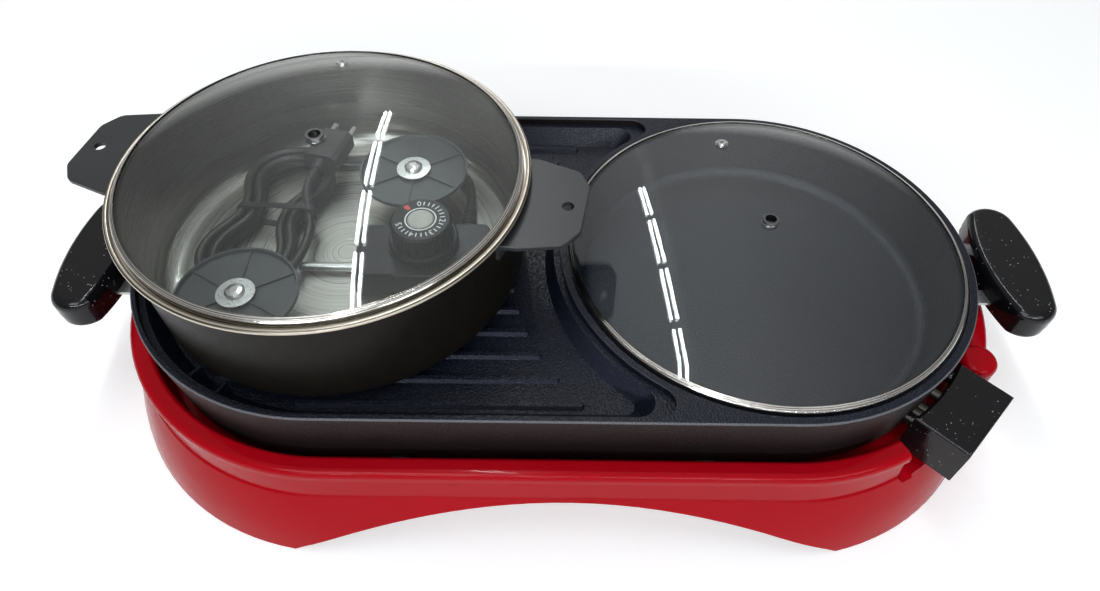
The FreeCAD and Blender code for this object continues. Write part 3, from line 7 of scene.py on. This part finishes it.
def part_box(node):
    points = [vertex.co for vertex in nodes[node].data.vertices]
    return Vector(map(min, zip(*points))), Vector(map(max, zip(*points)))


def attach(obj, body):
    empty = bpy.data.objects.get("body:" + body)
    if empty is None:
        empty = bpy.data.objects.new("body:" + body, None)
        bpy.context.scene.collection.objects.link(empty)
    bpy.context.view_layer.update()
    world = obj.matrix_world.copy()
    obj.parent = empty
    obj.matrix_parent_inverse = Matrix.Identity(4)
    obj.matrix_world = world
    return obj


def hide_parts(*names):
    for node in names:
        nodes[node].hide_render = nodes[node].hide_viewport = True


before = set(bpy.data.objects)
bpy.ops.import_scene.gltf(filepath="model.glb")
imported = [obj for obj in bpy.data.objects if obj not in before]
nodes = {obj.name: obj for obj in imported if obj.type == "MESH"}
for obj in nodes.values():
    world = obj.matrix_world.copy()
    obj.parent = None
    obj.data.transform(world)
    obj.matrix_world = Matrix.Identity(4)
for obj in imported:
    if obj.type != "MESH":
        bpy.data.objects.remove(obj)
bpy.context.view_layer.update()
MM = 0.001
WHITE = (1.0, 1.0, 1.0)


# Camera at the photograph's angle
PHOTO_WIDTH_PIXELS = 1100.0
FOCAL_LENGTH_PIXELS = 757.0
SENSOR_WIDTH = 36.0
CAMERA_TURN = -0.18
CAMERA_TILT = 50.446
CAMERA_ROLL = 0.846
CAMERA_PLACE = Vector((-4.2, -377.6, 515.3)) * MM


def camera():
    data = bpy.data.cameras.new("camera")
    data.sensor_width = SENSOR_WIDTH
    data.lens = FOCAL_LENGTH_PIXELS / PHOTO_WIDTH_PIXELS * SENSOR_WIDTH
    data.clip_start = 0.01
    cam = bpy.data.objects.new("camera", data)
    bpy.context.scene.collection.objects.link(cam)
    turn, tilt, roll = (math.radians(angle) for angle in (CAMERA_TURN, CAMERA_TILT, CAMERA_ROLL))
    back = Vector((math.sin(turn) * math.cos(tilt), -math.cos(turn) * math.cos(tilt), math.sin(tilt)))
    right = (-back).cross(Vector((0, 0, 1))).normalized()
    up = right.cross(-back)
    x = right * math.cos(roll) + up * math.sin(roll)
    y = up * math.cos(roll) - right * math.sin(roll)
    place = Matrix((x, y, back)).transposed().to_4x4()
    place.translation = CAMERA_PLACE
    cam.matrix_world = place
    bpy.context.scene.camera = cam


camera()
bpy.context.scene.view_settings.view_transform = "Standard"


# Node helpers
class Nodes:
    """Nodes being added to one material or world."""

    def __init__(self, tree):
        self.tree = tree

    def set(self, node, sockets):
        for key, value in sockets.items():
            socket = node.inputs[key.replace("_", " ")] if isinstance(key, str) else node.inputs[key]
            if isinstance(value, bpy.types.NodeSocket):
                self.tree.links.new(value, socket)
            elif hasattr(value, "__len__") and len(value) == 3 and socket.type == "RGBA":
                socket.default_value = (*value, 1.0)
            else:
                socket.default_value = value

    def add(self, kind, settings=None, **sockets):
        node = self.tree.nodes.new(kind)
        for key, value in (settings or {}).items():
            setattr(node, key, value)
        self.set(node, sockets)
        return node

    def math(self, operation, a, b=0.0):
        node = self.add("ShaderNodeMath", {"operation": operation})
        self.set(node, {0: a, 1: b})
        return node.outputs[0]

    def length(self, a, b):
        """Length of the flat vector a, b."""
        squares = self.math("MULTIPLY", a, a), self.math("MULTIPLY", b, b)
        return self.math("SQRT", self.math("ADD", *squares))

    def axes(self, vector):
        return self.add("ShaderNodeSeparateXYZ", Vector=vector).outputs

    def ramp(self, value, low, high, a=0.0, b=1.0):
        """From a where the value is low to b where it is high."""
        node = self.add("ShaderNodeMapRange", {"clamp": True})
        self.set(node, {0: value, 1: low, 2: high, 3: a, 4: b})
        return node.outputs[0]

    def seen_rays(self):
        """1 for rays straight from the camera, and 1 for all that show the background."""
        path = self.add("ShaderNodeLightPath").outputs
        bent = self.math("MAXIMUM", path["Is Glossy Ray"], path["Is Transmission Ray"])
        return path["Is Camera Ray"], self.math("MAXIMUM", path["Is Camera Ray"], bent)

    def blend(self, amount, first, second):
        node = self.add("ShaderNodeMixShader")
        self.set(node, {0: amount, 1: first, 2: second})
        return node.outputs[0]


class Look(Nodes):
    """One procedural material being built."""

    def __init__(self, name, **sockets):
        self.mat = bpy.data.materials.new(name)
        self.mat.use_nodes = True
        super().__init__(self.mat.node_tree)
        self.shader = self.tree.nodes["Principled BSDF"]
        self.out = self.tree.nodes["Material Output"]
        self.set(self.shader, sockets)
        # the piece's own coordinates, so that the pattern moves with its body
        own = self.add("ShaderNodeTexCoord").outputs
        self.place = own["Object"]
        self.normal = own["Normal"]

    def noise(self, scale, detail=3.0, rough=0.5, stretch=None, vector=None):
        vector = vector or self.place
        if stretch:
            vector = self.add("ShaderNodeMapping", Vector=vector, Scale=stretch).outputs[0]
        node = self.add("ShaderNodeTexNoise", Vector=vector, Scale=scale, Detail=detail, Roughness=rough)
        return node.outputs["Fac"]

    def cells(self, scale):
        return self.add("ShaderNodeTexVoronoi", Vector=self.place, Scale=scale).outputs["Distance"]

    def mix(self, amount, a, b):
        node = self.add("ShaderNodeMix", {"data_type": "RGBA"})
        self.set(node, {0: amount, 6: a, 7: b})
        return node.outputs[2]

    def mix_number(self, amount, a, b):
        node = self.add("ShaderNodeMix", {"data_type": "FLOAT"})
        self.set(node, {0: amount, 2: a, 3: b})
        return node.outputs[0]

    def bump(self, height, distance, strength=1.0, under=None):
        node = self.add("ShaderNodeBump", Height=height, Distance=distance, Strength=strength)
        if under:
            self.tree.links.new(under, node.inputs["Normal"])
        return node.outputs[0]

    def from_axis(self, centre):
        """Steps in x and y from an upright axis, and the distance from it."""
        x, y, z = self.axes(self.place)
        dx, dy = self.math("SUBTRACT", x, centre[0]), self.math("SUBTRACT", y, centre[1])
        return dx, dy, self.length(dx, dy)

    def rings(self, across, pitch, low, high):
        """1 on the rings of painted shade that repeat across a rim, 0 between them."""
        turn = self.math("MULTIPLY", across, 2 * math.pi / pitch)
        return self.ramp(self.math("COSINE", turn), low, high)

    def use(self, **sockets):
        self.set(self.shader, sockets)
        return self.mat


# Places where a look changes on its piece
def centre_of(name):
    return sum(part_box(name), Vector()) / 2


PAN_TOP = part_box("pan_casting")[1].z
PAN_END_X = 150.0 * MM
PAN_INNER_RADIUS = 141.8 * MM
PAN_OUTER_RADIUS = 142.6 * MM
POT = centre_of("pot_body")
POT_FLOOR_RADIUS = 129.0 * MM
POT_RIM_RADIUS = 130.5 * MM
POT_RIM_Z = 180.6 * MM
POT_RIM_PITCH = 2.3 * MM
WELL_LID = centre_of("well_lid_band")
POT_LID = centre_of("pot_lid_band")
LID_RIM_PITCH = 1.7 * MM


def red_gloss():
    look = Look("red_gloss", IOR=1.5, Specular_IOR_Level=0.04, Coat_Weight=0.14, Coat_Roughness=0.03)
    colour = look.mix(look.noise(9.0, 2.0), (0.385, 0.001, 0.007), (0.315, 0.001, 0.006))
    rough = look.ramp(look.noise(45.0, 4.0), 0.3, 0.7, 0.16, 0.27)
    bump = look.bump(look.noise(28.0, 1.0), 0.0006, 0.25)
    bump = look.bump(look.noise(420.0, 3.0), 0.00004, 0.3, bump)
    return look.use(Base_Color=colour, Roughness=rough, Normal=bump)


def pan_coat():
    """Blue-black speckled coating inside, browner and plain outside, with painted highlights along the top
    rim and on front-facing edges.
    """
    look = Look("pan_coat", IOR=1.4, Specular_IOR_Level=0.38)
    x, y, z = look.axes(look.place)
    ny, nz = look.axes(look.normal)[1:]
    side = look.math("ABSOLUTE", y)
    reach = look.math("SUBTRACT", look.math("ABSOLUTE", x), PAN_END_X)
    radius = look.length(look.math("MAXIMUM", reach, 0.0), side)
    past_wall = look.ramp(radius, PAN_INNER_RADIUS, PAN_OUTER_RADIUS)
    outside = look.math("MULTIPLY", past_wall, look.ramp(nz, 0.6, 0.3))
    tilted = look.ramp(look.math("ABSOLUTE", nz), 0.985, 0.90)
    # mask for a painted highlight: a thin pale line along the rounded top edge of the pan
    rim = look.math("MULTIPLY", look.ramp(z, PAN_TOP - 1.6 * MM, PAN_TOP - 1.1 * MM), tilted)
    grain = look.noise(780.0, 2.0, 0.55)
    stipple = look.ramp(look.cells(660.0), 0.10, 0.60)
    flow = look.noise(14.0, 2.0)
    inner = look.mix(flow, (0.003, 0.004, 0.009), (0.006, 0.008, 0.016))
    inner = look.mix(look.ramp(grain, 0.58, 0.76, 0.0, 0.6), inner, (0.050, 0.058, 0.085))
    outer = look.mix(look.noise(60.0, 4.0), (0.008, 0.005, 0.005), (0.012, 0.009, 0.009))
    colour = look.mix(outside, inner, outer)
    # painted highlight: edges that face the front are lightened, the ribs' flanks and the well's ledges
    painted_flank_highlight = look.math("MULTIPLY", look.ramp(ny, -0.25, -0.6), look.ramp(nz, 0.15, 0.35))
    painted_flank_highlight = look.math("MULTIPLY", painted_flank_highlight, look.ramp(z, PAN_TOP - 3.0 * MM, PAN_TOP - 4.0 * MM))
    colour = look.mix(look.ramp(painted_flank_highlight, 0.0, 1.0, 0.0, 0.3), colour, (0.055, 0.060, 0.085))
    # painted highlight along the pan's top edge
    colour = look.mix(look.ramp(rim, 0.0, 1.0, 0.0, 0.5), colour, (0.20, 0.20, 0.22))
    rough = look.mix_number(outside, look.ramp(flow, 0.3, 0.7, 0.34, 0.44), 0.46)
    bump = look.bump(stipple, 0.00026, 0.9)
    bump = look.bump(grain, 0.00020, 0.8, bump)
    return look.use(Base_Color=colour, Roughness=rough, Normal=bump)


def black_gloss():
    """Glossy black plastic with pale dust specks in patches."""
    look = Look("black_gloss", IOR=1.5, Specular_IOR_Level=0.14, Coat_Weight=0.36, Coat_Roughness=0.04)
    specks = look.ramp(look.cells(300.0), 0.17, 0.08)
    dust = look.math("MULTIPLY", specks, look.ramp(look.noise(45.0, 3.0), 0.46, 0.56))
    colour = look.mix(look.math("MULTIPLY", dust, 0.75), (0.004, 0.004, 0.005), (0.42, 0.40, 0.38))
    rough = look.ramp(look.noise(70.0, 5.0), 0.35, 0.7, 0.10, 0.30)
    bump = look.bump(look.noise(60.0, 2.0), 0.0002, 0.3)
    bump = look.bump(dust, 0.0001, 0.5, bump)
    return look.use(Base_Color=colour, Roughness=rough, Normal=bump)


def matt_black(name, colour, rough, grain, depth, level=0.5):
    look = Look(name, IOR=1.45, Specular_IOR_Level=level)
    speck = look.noise(grain, 3.0, 0.6)
    tone = look.mix(look.noise(35.0, 4.0), colour, [c * 1.7 for c in colour])
    tone = look.mix(look.ramp(speck, 0.62, 0.8, 0.0, 0.25), tone, [c * 2.5 for c in colour])
    rough = look.ramp(speck, 0.3, 0.7, rough - 0.06, rough + 0.08)
    return look.use(Base_Color=tone, Roughness=rough, Normal=look.bump(speck, depth, 0.6))


def steel(name, colour, rough, scale=900.0, stretch=(1.0, 1.0, 0.06), anisotropy=0.4):
    look = Look(name, Metallic=1.0, Anisotropic=anisotropy)
    lines = look.noise(scale, 3.0, 0.6, stretch)
    stain = look.noise(25.0, 3.0)
    amount = look.math("MULTIPLY", look.math("ADD", lines, stain), 0.5)
    tone = look.mix(amount, [c * 0.78 for c in colour], [min(1.0, c * 1.12) for c in colour])
    rough = look.ramp(lines, 0.3, 0.7, rough - 0.05, rough + 0.07)
    return look.use(Base_Color=tone, Roughness=rough, Normal=look.bump(lines, 0.00003, 0.4))


def pot_steel():
    """Dark coat outside, bright rim crossed by thin rings of painted shade, brushed rings inside, from the
    place on the pot.
    """
    look = Look("pot_steel", IOR=1.4, Specular_IOR_Level=0.16)
    z = look.axes(look.place)[2]
    nx, ny, nz = look.axes(look.normal)
    dx, dy, radius = look.from_axis(POT)
    outward = look.math("ADD", look.math("MULTIPLY", dx, nx), look.math("MULTIPLY", dy, ny))
    wall_in = look.ramp(outward, -0.01, -0.02)
    on_floor = look.ramp(radius, POT_FLOOR_RADIUS + 0.6 * MM, POT_FLOOR_RADIUS)
    floor_in = look.math("MULTIPLY", look.ramp(nz, 0.3, 0.5), on_floor)
    rim = look.ramp(z, POT_RIM_Z, POT_RIM_Z + 0.4 * MM)
    bright = look.math("MAXIMUM", look.math("MAXIMUM", wall_in, floor_in), rim)
    ring = look.add("ShaderNodeCombineXYZ", X=radius, Y=z, Z=0.0).outputs[0]
    lines = look.noise(1300.0, 3.0, 0.6, None, ring)
    tone = look.mix(lines, (0.22, 0.215, 0.20), (0.60, 0.58, 0.54))
    tone = look.mix(look.ramp(look.noise(18.0, 3.0), 0.3, 0.75, 0.0, 0.35), tone, (0.26, 0.25, 0.235))
    tone = look.mix(look.ramp(rim, 0.0, 1.0, 0.0, 0.5), tone, (0.80, 0.70, 0.55))
    # painted shade: thin dark rings across the rim's top, standing in for the curves of the rolled metal
    painted_ring_shade = look.rings(look.math("SUBTRACT", radius, POT_RIM_RADIUS), POT_RIM_PITCH, 0.1, 0.7)
    painted_ring_shade = look.math("MULTIPLY", look.math("MULTIPLY", rim, painted_ring_shade), 0.85)
    tone = look.mix(painted_ring_shade, tone, (0.05, 0.045, 0.04))
    coat = look.mix(look.noise(90.0, 5.0), (0.006, 0.005, 0.004), (0.010, 0.009, 0.007))
    rough_coat = look.ramp(look.noise(200.0, 4.0), 0.3, 0.7, 0.33, 0.43)
    rough = look.mix_number(bright, rough_coat, look.ramp(lines, 0.3, 0.7, 0.24, 0.36))
    return look.use(Base_Color=look.mix(bright, coat, tone), Metallic=bright, Roughness=rough,
                    Normal=look.bump(lines, 0.00004, 0.4))


def rim_band():
    """Polished rolled rims: bright metal crossed by a stack of thin dark rings of painted shade round each
    lid.
    """
    look = Look("bright_band", Metallic=1.0, Roughness=0.13)
    x, y, z = look.axes(look.place)
    over_pot = look.ramp(x, 0.0, 0.001, 1.0, 0.0)
    centre = [look.ramp(over_pot, 0.0, 1.0, WELL_LID[i], POT_LID[i]) for i in (0, 1)]
    radius = look.from_axis(centre)[2]
    # painted shade: thin dark rings across the rolled rim
    painted_ring_shade = look.rings(look.math("SUBTRACT", radius, z), LID_RIM_PITCH, 0.15, 0.75)
    tone = look.mix(look.noise(500.0, 3.0), (0.66, 0.63, 0.58), (0.86, 0.84, 0.80))
    tone = look.mix(look.math("MULTIPLY", painted_ring_shade, 0.85), tone, (0.035, 0.033, 0.030))
    return look.use(Base_Color=tone, Normal=look.bump(painted_ring_shade, 0.0001, 0.4))


def lid_glass():
    """Smeared clear glass that lets plain light through to what it covers."""
    look = Look("lid_glass", IOR=1.5, Transmission_Weight=1.0, Roughness=0.02)
    tint = look.mix(look.noise(22.0, 4.0), (0.86, 0.90, 0.89), (0.93, 0.96, 0.95))
    look.use(Base_Color=tint, Normal=look.bump(look.noise(9.0, 1.0), 0.0004, 0.15))
    path = look.add("ShaderNodeLightPath").outputs
    clear = look.add("ShaderNodeBsdfTransparent", Color=(0.90, 0.93, 0.92))
    lighting = look.math("MAXIMUM", path["Is Shadow Ray"], path["Is Diffuse Ray"])
    surface = look.blend(lighting, look.shader.outputs[0], clear.outputs[0])
    look.set(look.out, {"Surface": surface})
    return look.mat


def plain(name, colour, rough):
    look = Look(name)
    grain = look.noise(300.0, 3.0)
    tone = look.mix(grain, [c * 0.85 for c in colour], [min(1.0, c * 1.1) for c in colour])
    rough = look.ramp(grain, 0.3, 0.7, rough - 0.05, rough + 0.05)
    return look.use(Base_Color=tone, Roughness=rough, Normal=look.bump(grain, 0.00003, 0.3))


EVEN = (1.0, 1.0, 1.0)
looks = {
    "red": red_gloss(),
    "pan": pan_coat(),
    "gloss": black_gloss(),
    "ear": matt_black("ear_plastic", (0.015, 0.016, 0.017), 0.40, 900.0, 0.00005, 0.6),
    "knob": matt_black("knob_plastic", (0.034, 0.036, 0.038), 0.42, 700.0, 0.00006),
    "case": matt_black("case_plastic", (0.004, 0.004, 0.005), 0.36, 1100.0, 0.00002, 0.25),
    "rubber": matt_black("rubber", (0.016, 0.016, 0.016), 0.62, 500.0, 0.0001),
    "cord": matt_black("cord_jacket", (0.008, 0.008, 0.009), 0.40, 800.0, 0.00005),
    "band": rim_band(),
    "steel": steel("plain_steel", (0.55, 0.55, 0.54), 0.30),
    "screw": steel("screw_steel", (0.74, 0.74, 0.73), 0.16, 700.0, EVEN, 0.0),
    "tray": steel("tray_sheet", (0.66, 0.67, 0.68), 0.28, 400.0, (0.05, 1.0, 1.0), 0.3),
    "eyelet": steel("dark_eyelet", (0.16, 0.16, 0.16), 0.30, 700.0, EVEN, 0.0),
    "sheath": steel("element_sheath", (0.17, 0.155, 0.14), 0.48, 500.0, EVEN, 0.0),
    "pot": pot_steel(),
    "glass": lid_glass(),
    "cap": plain("pale_cap", (0.42, 0.40, 0.36), 0.42),
    "brass": steel("contact_brass", (0.66, 0.47, 0.20), 0.28),
    "white": plain("white_ink", (0.80, 0.80, 0.78), 0.5),
    "red_ink": plain("red_ink", (0.62, 0.03, 0.015), 0.5),
}

dress = {
    "red": ["base_shell"],
    "pan": ["pan_casting"],
    "gloss": ["guard_lower", "guard_upper", "guard_spacers", "handle_left", "handle_grip_left",
              "handle_right", "handle_grip_right"],
    "ear": ["pot_ear_left", "pot_ear_right"],
    "knob": ["lid_knob_1", "lid_knob_2"],
    "case": ["case_lower", "case_upper", "control_dial"],
    "rubber": ["pan_rest_pads", "foot_pads"],
    "cord": ["strain_relief", "plug_body", "cord_tie"],
    "band": ["well_lid_band", "pot_lid_band"],
    "steel": ["terminal_pins", "element_clips", "guard_screws", "handle_straps", "handle_screws",
              "well_lid_vent", "pot_lid_vent", "pot_ear_rivets", "probe_rod", "plug_pins", "knob_washers"],
    "screw": ["knob_screws"],
    "eyelet": ["well_lid_eyelet", "pot_lid_eyelet"],
    "tray": ["heat_reflector"],
    "sheath": ["heating_element", "probe_tube"],
    "pot": ["pot_body"],
    "glass": ["well_lid_glass", "pot_lid_glass"],
    "cap": ["dial_cap"],
    "brass": ["contact_sleeves"],
}
for look, names in dress.items():
    for name in names:
        mesh = nodes[name].data
        mesh.materials.clear()
        mesh.materials.append(looks[look])


# Mains cord: one smooth line from the case through the tied hank to the plug
CORD_RADIUS = 3.4
FLOOR_Z = 107.4
LAYER_1 = 108.5
LAYER_2 = 115.9
PLUG_Z = 127.6
HANK_START = (-211.8, 29.4)
HANK_ANGLE = math.radians(80.0)
HANK_HALF = 40.0
WAIST_DRAW = 11.0
# places along a run of the hank, how much of the waist's draw each takes, and its share of the rise
RUN = ((10, 0, 0.038), (30, 1, 0.309), (50, 1, 0.691), (70, 0, 0.962))
CORNER = 45.0


def hank(s, t, z):
    """A point s along the hank and t across it."""
    along, across = math.cos(HANK_ANGLE), math.sin(HANK_ANGLE)
    return HANK_START[0] + s * along + t * across, HANK_START[1] + s * across - t * along, z


def fold(t0, t1, end, z, corners=(0, 1, 2, 3)):
    """Corners of the line round one fold, from lane t0 to lane t1."""
    middle = (t0 + t1) / 2
    wide = 1 / math.cos(math.radians(CORNER / 2))
    points = []
    for i in corners:
        a = math.radians(CORNER / 2 + i * CORNER)
        points.append(hank(end * (HANK_HALF + abs(t1 - t0) / 2 * wide * math.sin(a)),
                           middle + (t0 - middle) * wide * math.cos(a), z))
    return points


def lane(t, way, z0, z1=None):
    """Corners of one run of the hank, drawn in at the waist."""
    z1 = z0 if z1 is None else z1
    inward = math.copysign(WAIST_DRAW, -t)
    return [hank(way * (u - HANK_HALF), t + inward * share, z0 + (z1 - z0) * rise) for u, share, rise in RUN]


cord_points = [(-64.0, 36.0, 114.0), (-64.0, 56.0, 114.0), (-72.0, 82.0, 108.5), (-99.0, 101.0, FLOOR_Z),
               (-134.0, 104.0, FLOOR_Z), hank(75.0, 35.0, LAYER_1), hank(75.0, 10.0, LAYER_1)]
cord_points += fold(37.0, -33.0, 1, LAYER_1, (2, 3))
cord_points += lane(-33.0, -1, LAYER_1) + fold(-33.0, 28.5, -1, LAYER_1)
cord_points += lane(28.5, 1, LAYER_1) + fold(28.5, -24.0, 1, LAYER_1)
cord_points += lane(-24.0, -1, LAYER_1) + fold(-24.0, 19.5, -1, LAYER_1)
cord_points += lane(19.5, 1, LAYER_1, LAYER_2) + fold(19.5, -24.0, 1, LAYER_2)
cord_points += lane(-24.0, -1, LAYER_2) + fold(-24.0, 28.5, -1, LAYER_2)
cord_points += lane(28.5, 1, LAYER_2) + fold(28.5, -33.0, 1, LAYER_2)
cord_points += lane(-33.0, -1, LAYER_2) + fold(-33.0, 37.5, -1, LAYER_2)
cord_points += [hank(-16.0, 37.5, LAYER_2), hank(2.0, 30.0, LAYER_2 + 6.0), hank(20.0, 21.0, PLUG_Z),
                hank(38.6, 22.3, PLUG_Z)]


def make_cord():
    curve = bpy.data.curves.new("mains_cord", "CURVE")
    curve.dimensions = "3D"
    curve.bevel_depth = CORD_RADIUS * MM
    curve.bevel_resolution = 6
    curve.resolution_u = 10
    curve.use_fill_caps = True
    spline = curve.splines.new("NURBS")
    spline.points.add(len(cord_points) - 1)
    for point, place in zip(spline.points, cord_points):
        point.co = (place[0] * MM, place[1] * MM, place[2] * MM, 1.0)
    spline.order_u = 3
    spline.use_endpoint_u = True
    cord = bpy.data.objects.new("mains_cord", curve)
    bpy.context.scene.collection.objects.link(cord)
    curve.materials.append(looks["cord"])
    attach(cord, "pot")
    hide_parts("cord_lead", "cord_hank", "cord_plug_lead")


make_cord()


# Marks printed on the dial
DIAL = centre_of("control_dial")
DIAL_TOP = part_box("control_dial")[1].z
INK = 0.06 * MM
NUMBER_START = 100.0
NUMBER_TURN = 52.0
NUMBER_RADIUS = 14.8
NUMBER_HEIGHT = 6.2
TICKS_BETWEEN = 3
TICK = (13.2, 16.6)
TICK_SWEEP = 3.2
LINE = (9.9, 10.9)
MARK = (12.6, 17.2)


def dial_spot(degrees, radius):
    angle = math.radians(degrees)
    return DIAL.x + radius * MM * math.cos(angle), DIAL.y + radius * MM * math.sin(angle)


def dial_piece(name, mesh, look):
    piece = bpy.data.objects.new(name, mesh)
    bpy.context.scene.collection.objects.link(piece)
    mesh.materials.clear()
    mesh.materials.append(looks[look])
    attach(piece, "dial")


def dial_ring(name, radii, look, start=0.0, sweep=360.0, steps=64):
    """A flat ring, or a piece of one, lying on the dial's top."""
    verts = []
    for i in range(steps + 1):
        degrees = start + sweep * i / steps
        verts += [(*dial_spot(degrees, radius), DIAL_TOP + INK) for radius in radii]
    mesh = bpy.data.meshes.new(name)
    mesh.from_pydata(verts, [], [(2 * i, 2 * i + 1, 2 * i + 3, 2 * i + 2) for i in range(steps)])
    mesh.update()
    dial_piece(name, mesh, look)


def dial_number(text, degrees):
    curve = bpy.data.curves.new("number", "FONT")
    curve.body = text
    curve.size = NUMBER_HEIGHT * MM
    curve.extrude = 0.08 * MM
    curve.align_x = "CENTER"
    curve.align_y = "CENTER"
    source = bpy.data.objects.new("number_" + text, curve)
    mesh = bpy.data.meshes.new_from_object(source)
    bpy.data.objects.remove(source)
    place = Matrix.Translation((*dial_spot(degrees, NUMBER_RADIUS), DIAL_TOP + 0.05 * MM))
    mesh.transform(place @ Matrix.Rotation(math.radians(degrees - 90.0), 4, "Z"))
    dial_piece("dial_number_" + text, mesh, "white")


def dial_marks():
    numbers = "012345"
    for i, text in enumerate(numbers):
        degrees = NUMBER_START - i * NUMBER_TURN
        dial_number(text, degrees)
        if text == numbers[-1]:
            break
        for j in range(1, TICKS_BETWEEN + 1):
            tick = degrees - NUMBER_TURN * j / (TICKS_BETWEEN + 1)
            dial_ring("dial_tick_%d_%d" % (i, j), TICK, "white", tick - TICK_SWEEP / 2, TICK_SWEEP, 2)
    dial_ring("dial_line", LINE, "white")
    dial_ring("dial_mark", MARK, "red_ink", 128.0, 12.0, 6)


dial_marks()


# Studio
FLOOR_REACH = 6.0
FLOOR_LIFT = 0.28
WORLD_LIGHT = 0.22


def make_floor():
    mesh = bpy.data.meshes.new("floor")
    signs = ((-1, -1), (1, -1), (1, 1), (-1, 1))
    corners = [(sx * FLOOR_REACH, sy * FLOOR_REACH, -0.2 * MM) for sx, sy in signs]
    mesh.from_pydata(corners, [], [(0, 1, 2, 3)])
    floor = bpy.data.objects.new("floor", mesh)
    bpy.context.scene.collection.objects.link(floor)
    look = Look("pale_floor", Roughness=0.75)
    tone = look.mix(look.noise(5.0, 2.0), (0.86, 0.86, 0.86), (0.90, 0.90, 0.90))
    straight, seen = look.seen_rays()
    x, y, z = look.axes(look.place)
    # far from the lamps the floor stays white for the camera
    far = look.math("MULTIPLY", straight, look.ramp(look.length(x, y), 0.9, 2.4, 0.0, 0.7))
    lift = look.math("ADD", look.math("MULTIPLY", seen, FLOOR_LIFT), far)
    mesh.materials.append(look.use(Base_Color=tone, Emission_Color=WHITE, Emission_Strength=lift))


def make_world():
    """Even light, and for seen rays a white horizon under a greyer ceiling."""
    world = bpy.data.worlds.new("studio")
    bpy.context.scene.world = world
    world.use_nodes = True
    world.node_tree.nodes.clear()
    sky = Nodes(world.node_tree)
    straight, seen = sky.seen_rays()
    x, y, z = sky.axes(sky.add("ShaderNodeTexCoord").outputs["Generated"])
    horizon = sky.ramp(z, 0.02, 0.14, 0.70, 0.0)
    ceiling = sky.ramp(z, 0.10, 0.60, 0.30, 0.68)
    to_sides = sky.ramp(sky.math("ABSOLUTE", x), 0.15, 0.70, 1.0, 0.50)
    level = sky.math("MULTIPLY", sky.math("ADD", horizon, ceiling), to_sides)
    level = sky.math("MAXIMUM", level, straight)
    light = sky.add("ShaderNodeBackground", Color=WHITE, Strength=WORLD_LIGHT)
    shown = sky.add("ShaderNodeBackground", Color=WHITE, Strength=level)
    sky.add("ShaderNodeOutputWorld", Surface=sky.blend(seen, light.outputs[0], shown.outputs[0]))


# name, place, point aimed at, width, length and power
LAMPS = (
    ("key", (-0.7, -1.5, 1.9), (0.0, 0.0, 0.1), 1.2, 0.8, 15.0),
    ("fill", (1.3, -1.5, 1.2), (0.1, 0.0, 0.1), 0.9, 0.7, 7.0),
    ("front", (0.0, -2.3, 1.25), (0.0, 0.0, 0.1), 2.6, 0.04, 30.0),
)
LAMP_COLOUR = (0.93, 0.97, 1.0)
# the line of double tubes overhead, seen in the lids
TUBE_SPANS = ((-0.75, 0.42), (0.52, 1.20), (1.30, 2.25), (2.40, 3.60))
TUBE_Z = 2.2
TUBE_WIDTH = 0.026
TUBE_APART = 0.03
TUBE_X = -0.195
TUBE_SLANT = 0.07
TUBE_POWER = 4.2


def lamp(name, place, aim, width, length, power):
    data = bpy.data.lights.new(name, "AREA")
    data.shape = "RECTANGLE"
    data.size = width
    data.size_y = length
    data.energy = power
    data.color = LAMP_COLOUR
    obj = bpy.data.objects.new(name, data)
    bpy.context.scene.collection.objects.link(obj)
    obj.location = place
    obj.rotation_euler = (Vector(aim) - Vector(place)).to_track_quat("-Z", "Y").to_euler()
    obj.visible_camera = False
    return obj


def make_tubes():
    for i, (start, end) in enumerate(TUBE_SPANS):
        span, y = end - start, (start + end) / 2
        for j, aside in enumerate((-TUBE_APART, TUBE_APART)):
            x = TUBE_X - TUBE_SLANT * y + aside
            name = "tube_%d_%d" % (i, j)
            tube = lamp(name, (x, y, TUBE_Z), (x, y, 0.0), TUBE_WIDTH, span, TUBE_POWER * span)
            tube.rotation_euler = (0.0, 0.0, math.atan(TUBE_SLANT))


make_floor()
make_world()
for numbers in LAMPS:
    lamp(*numbers)
make_tubes()
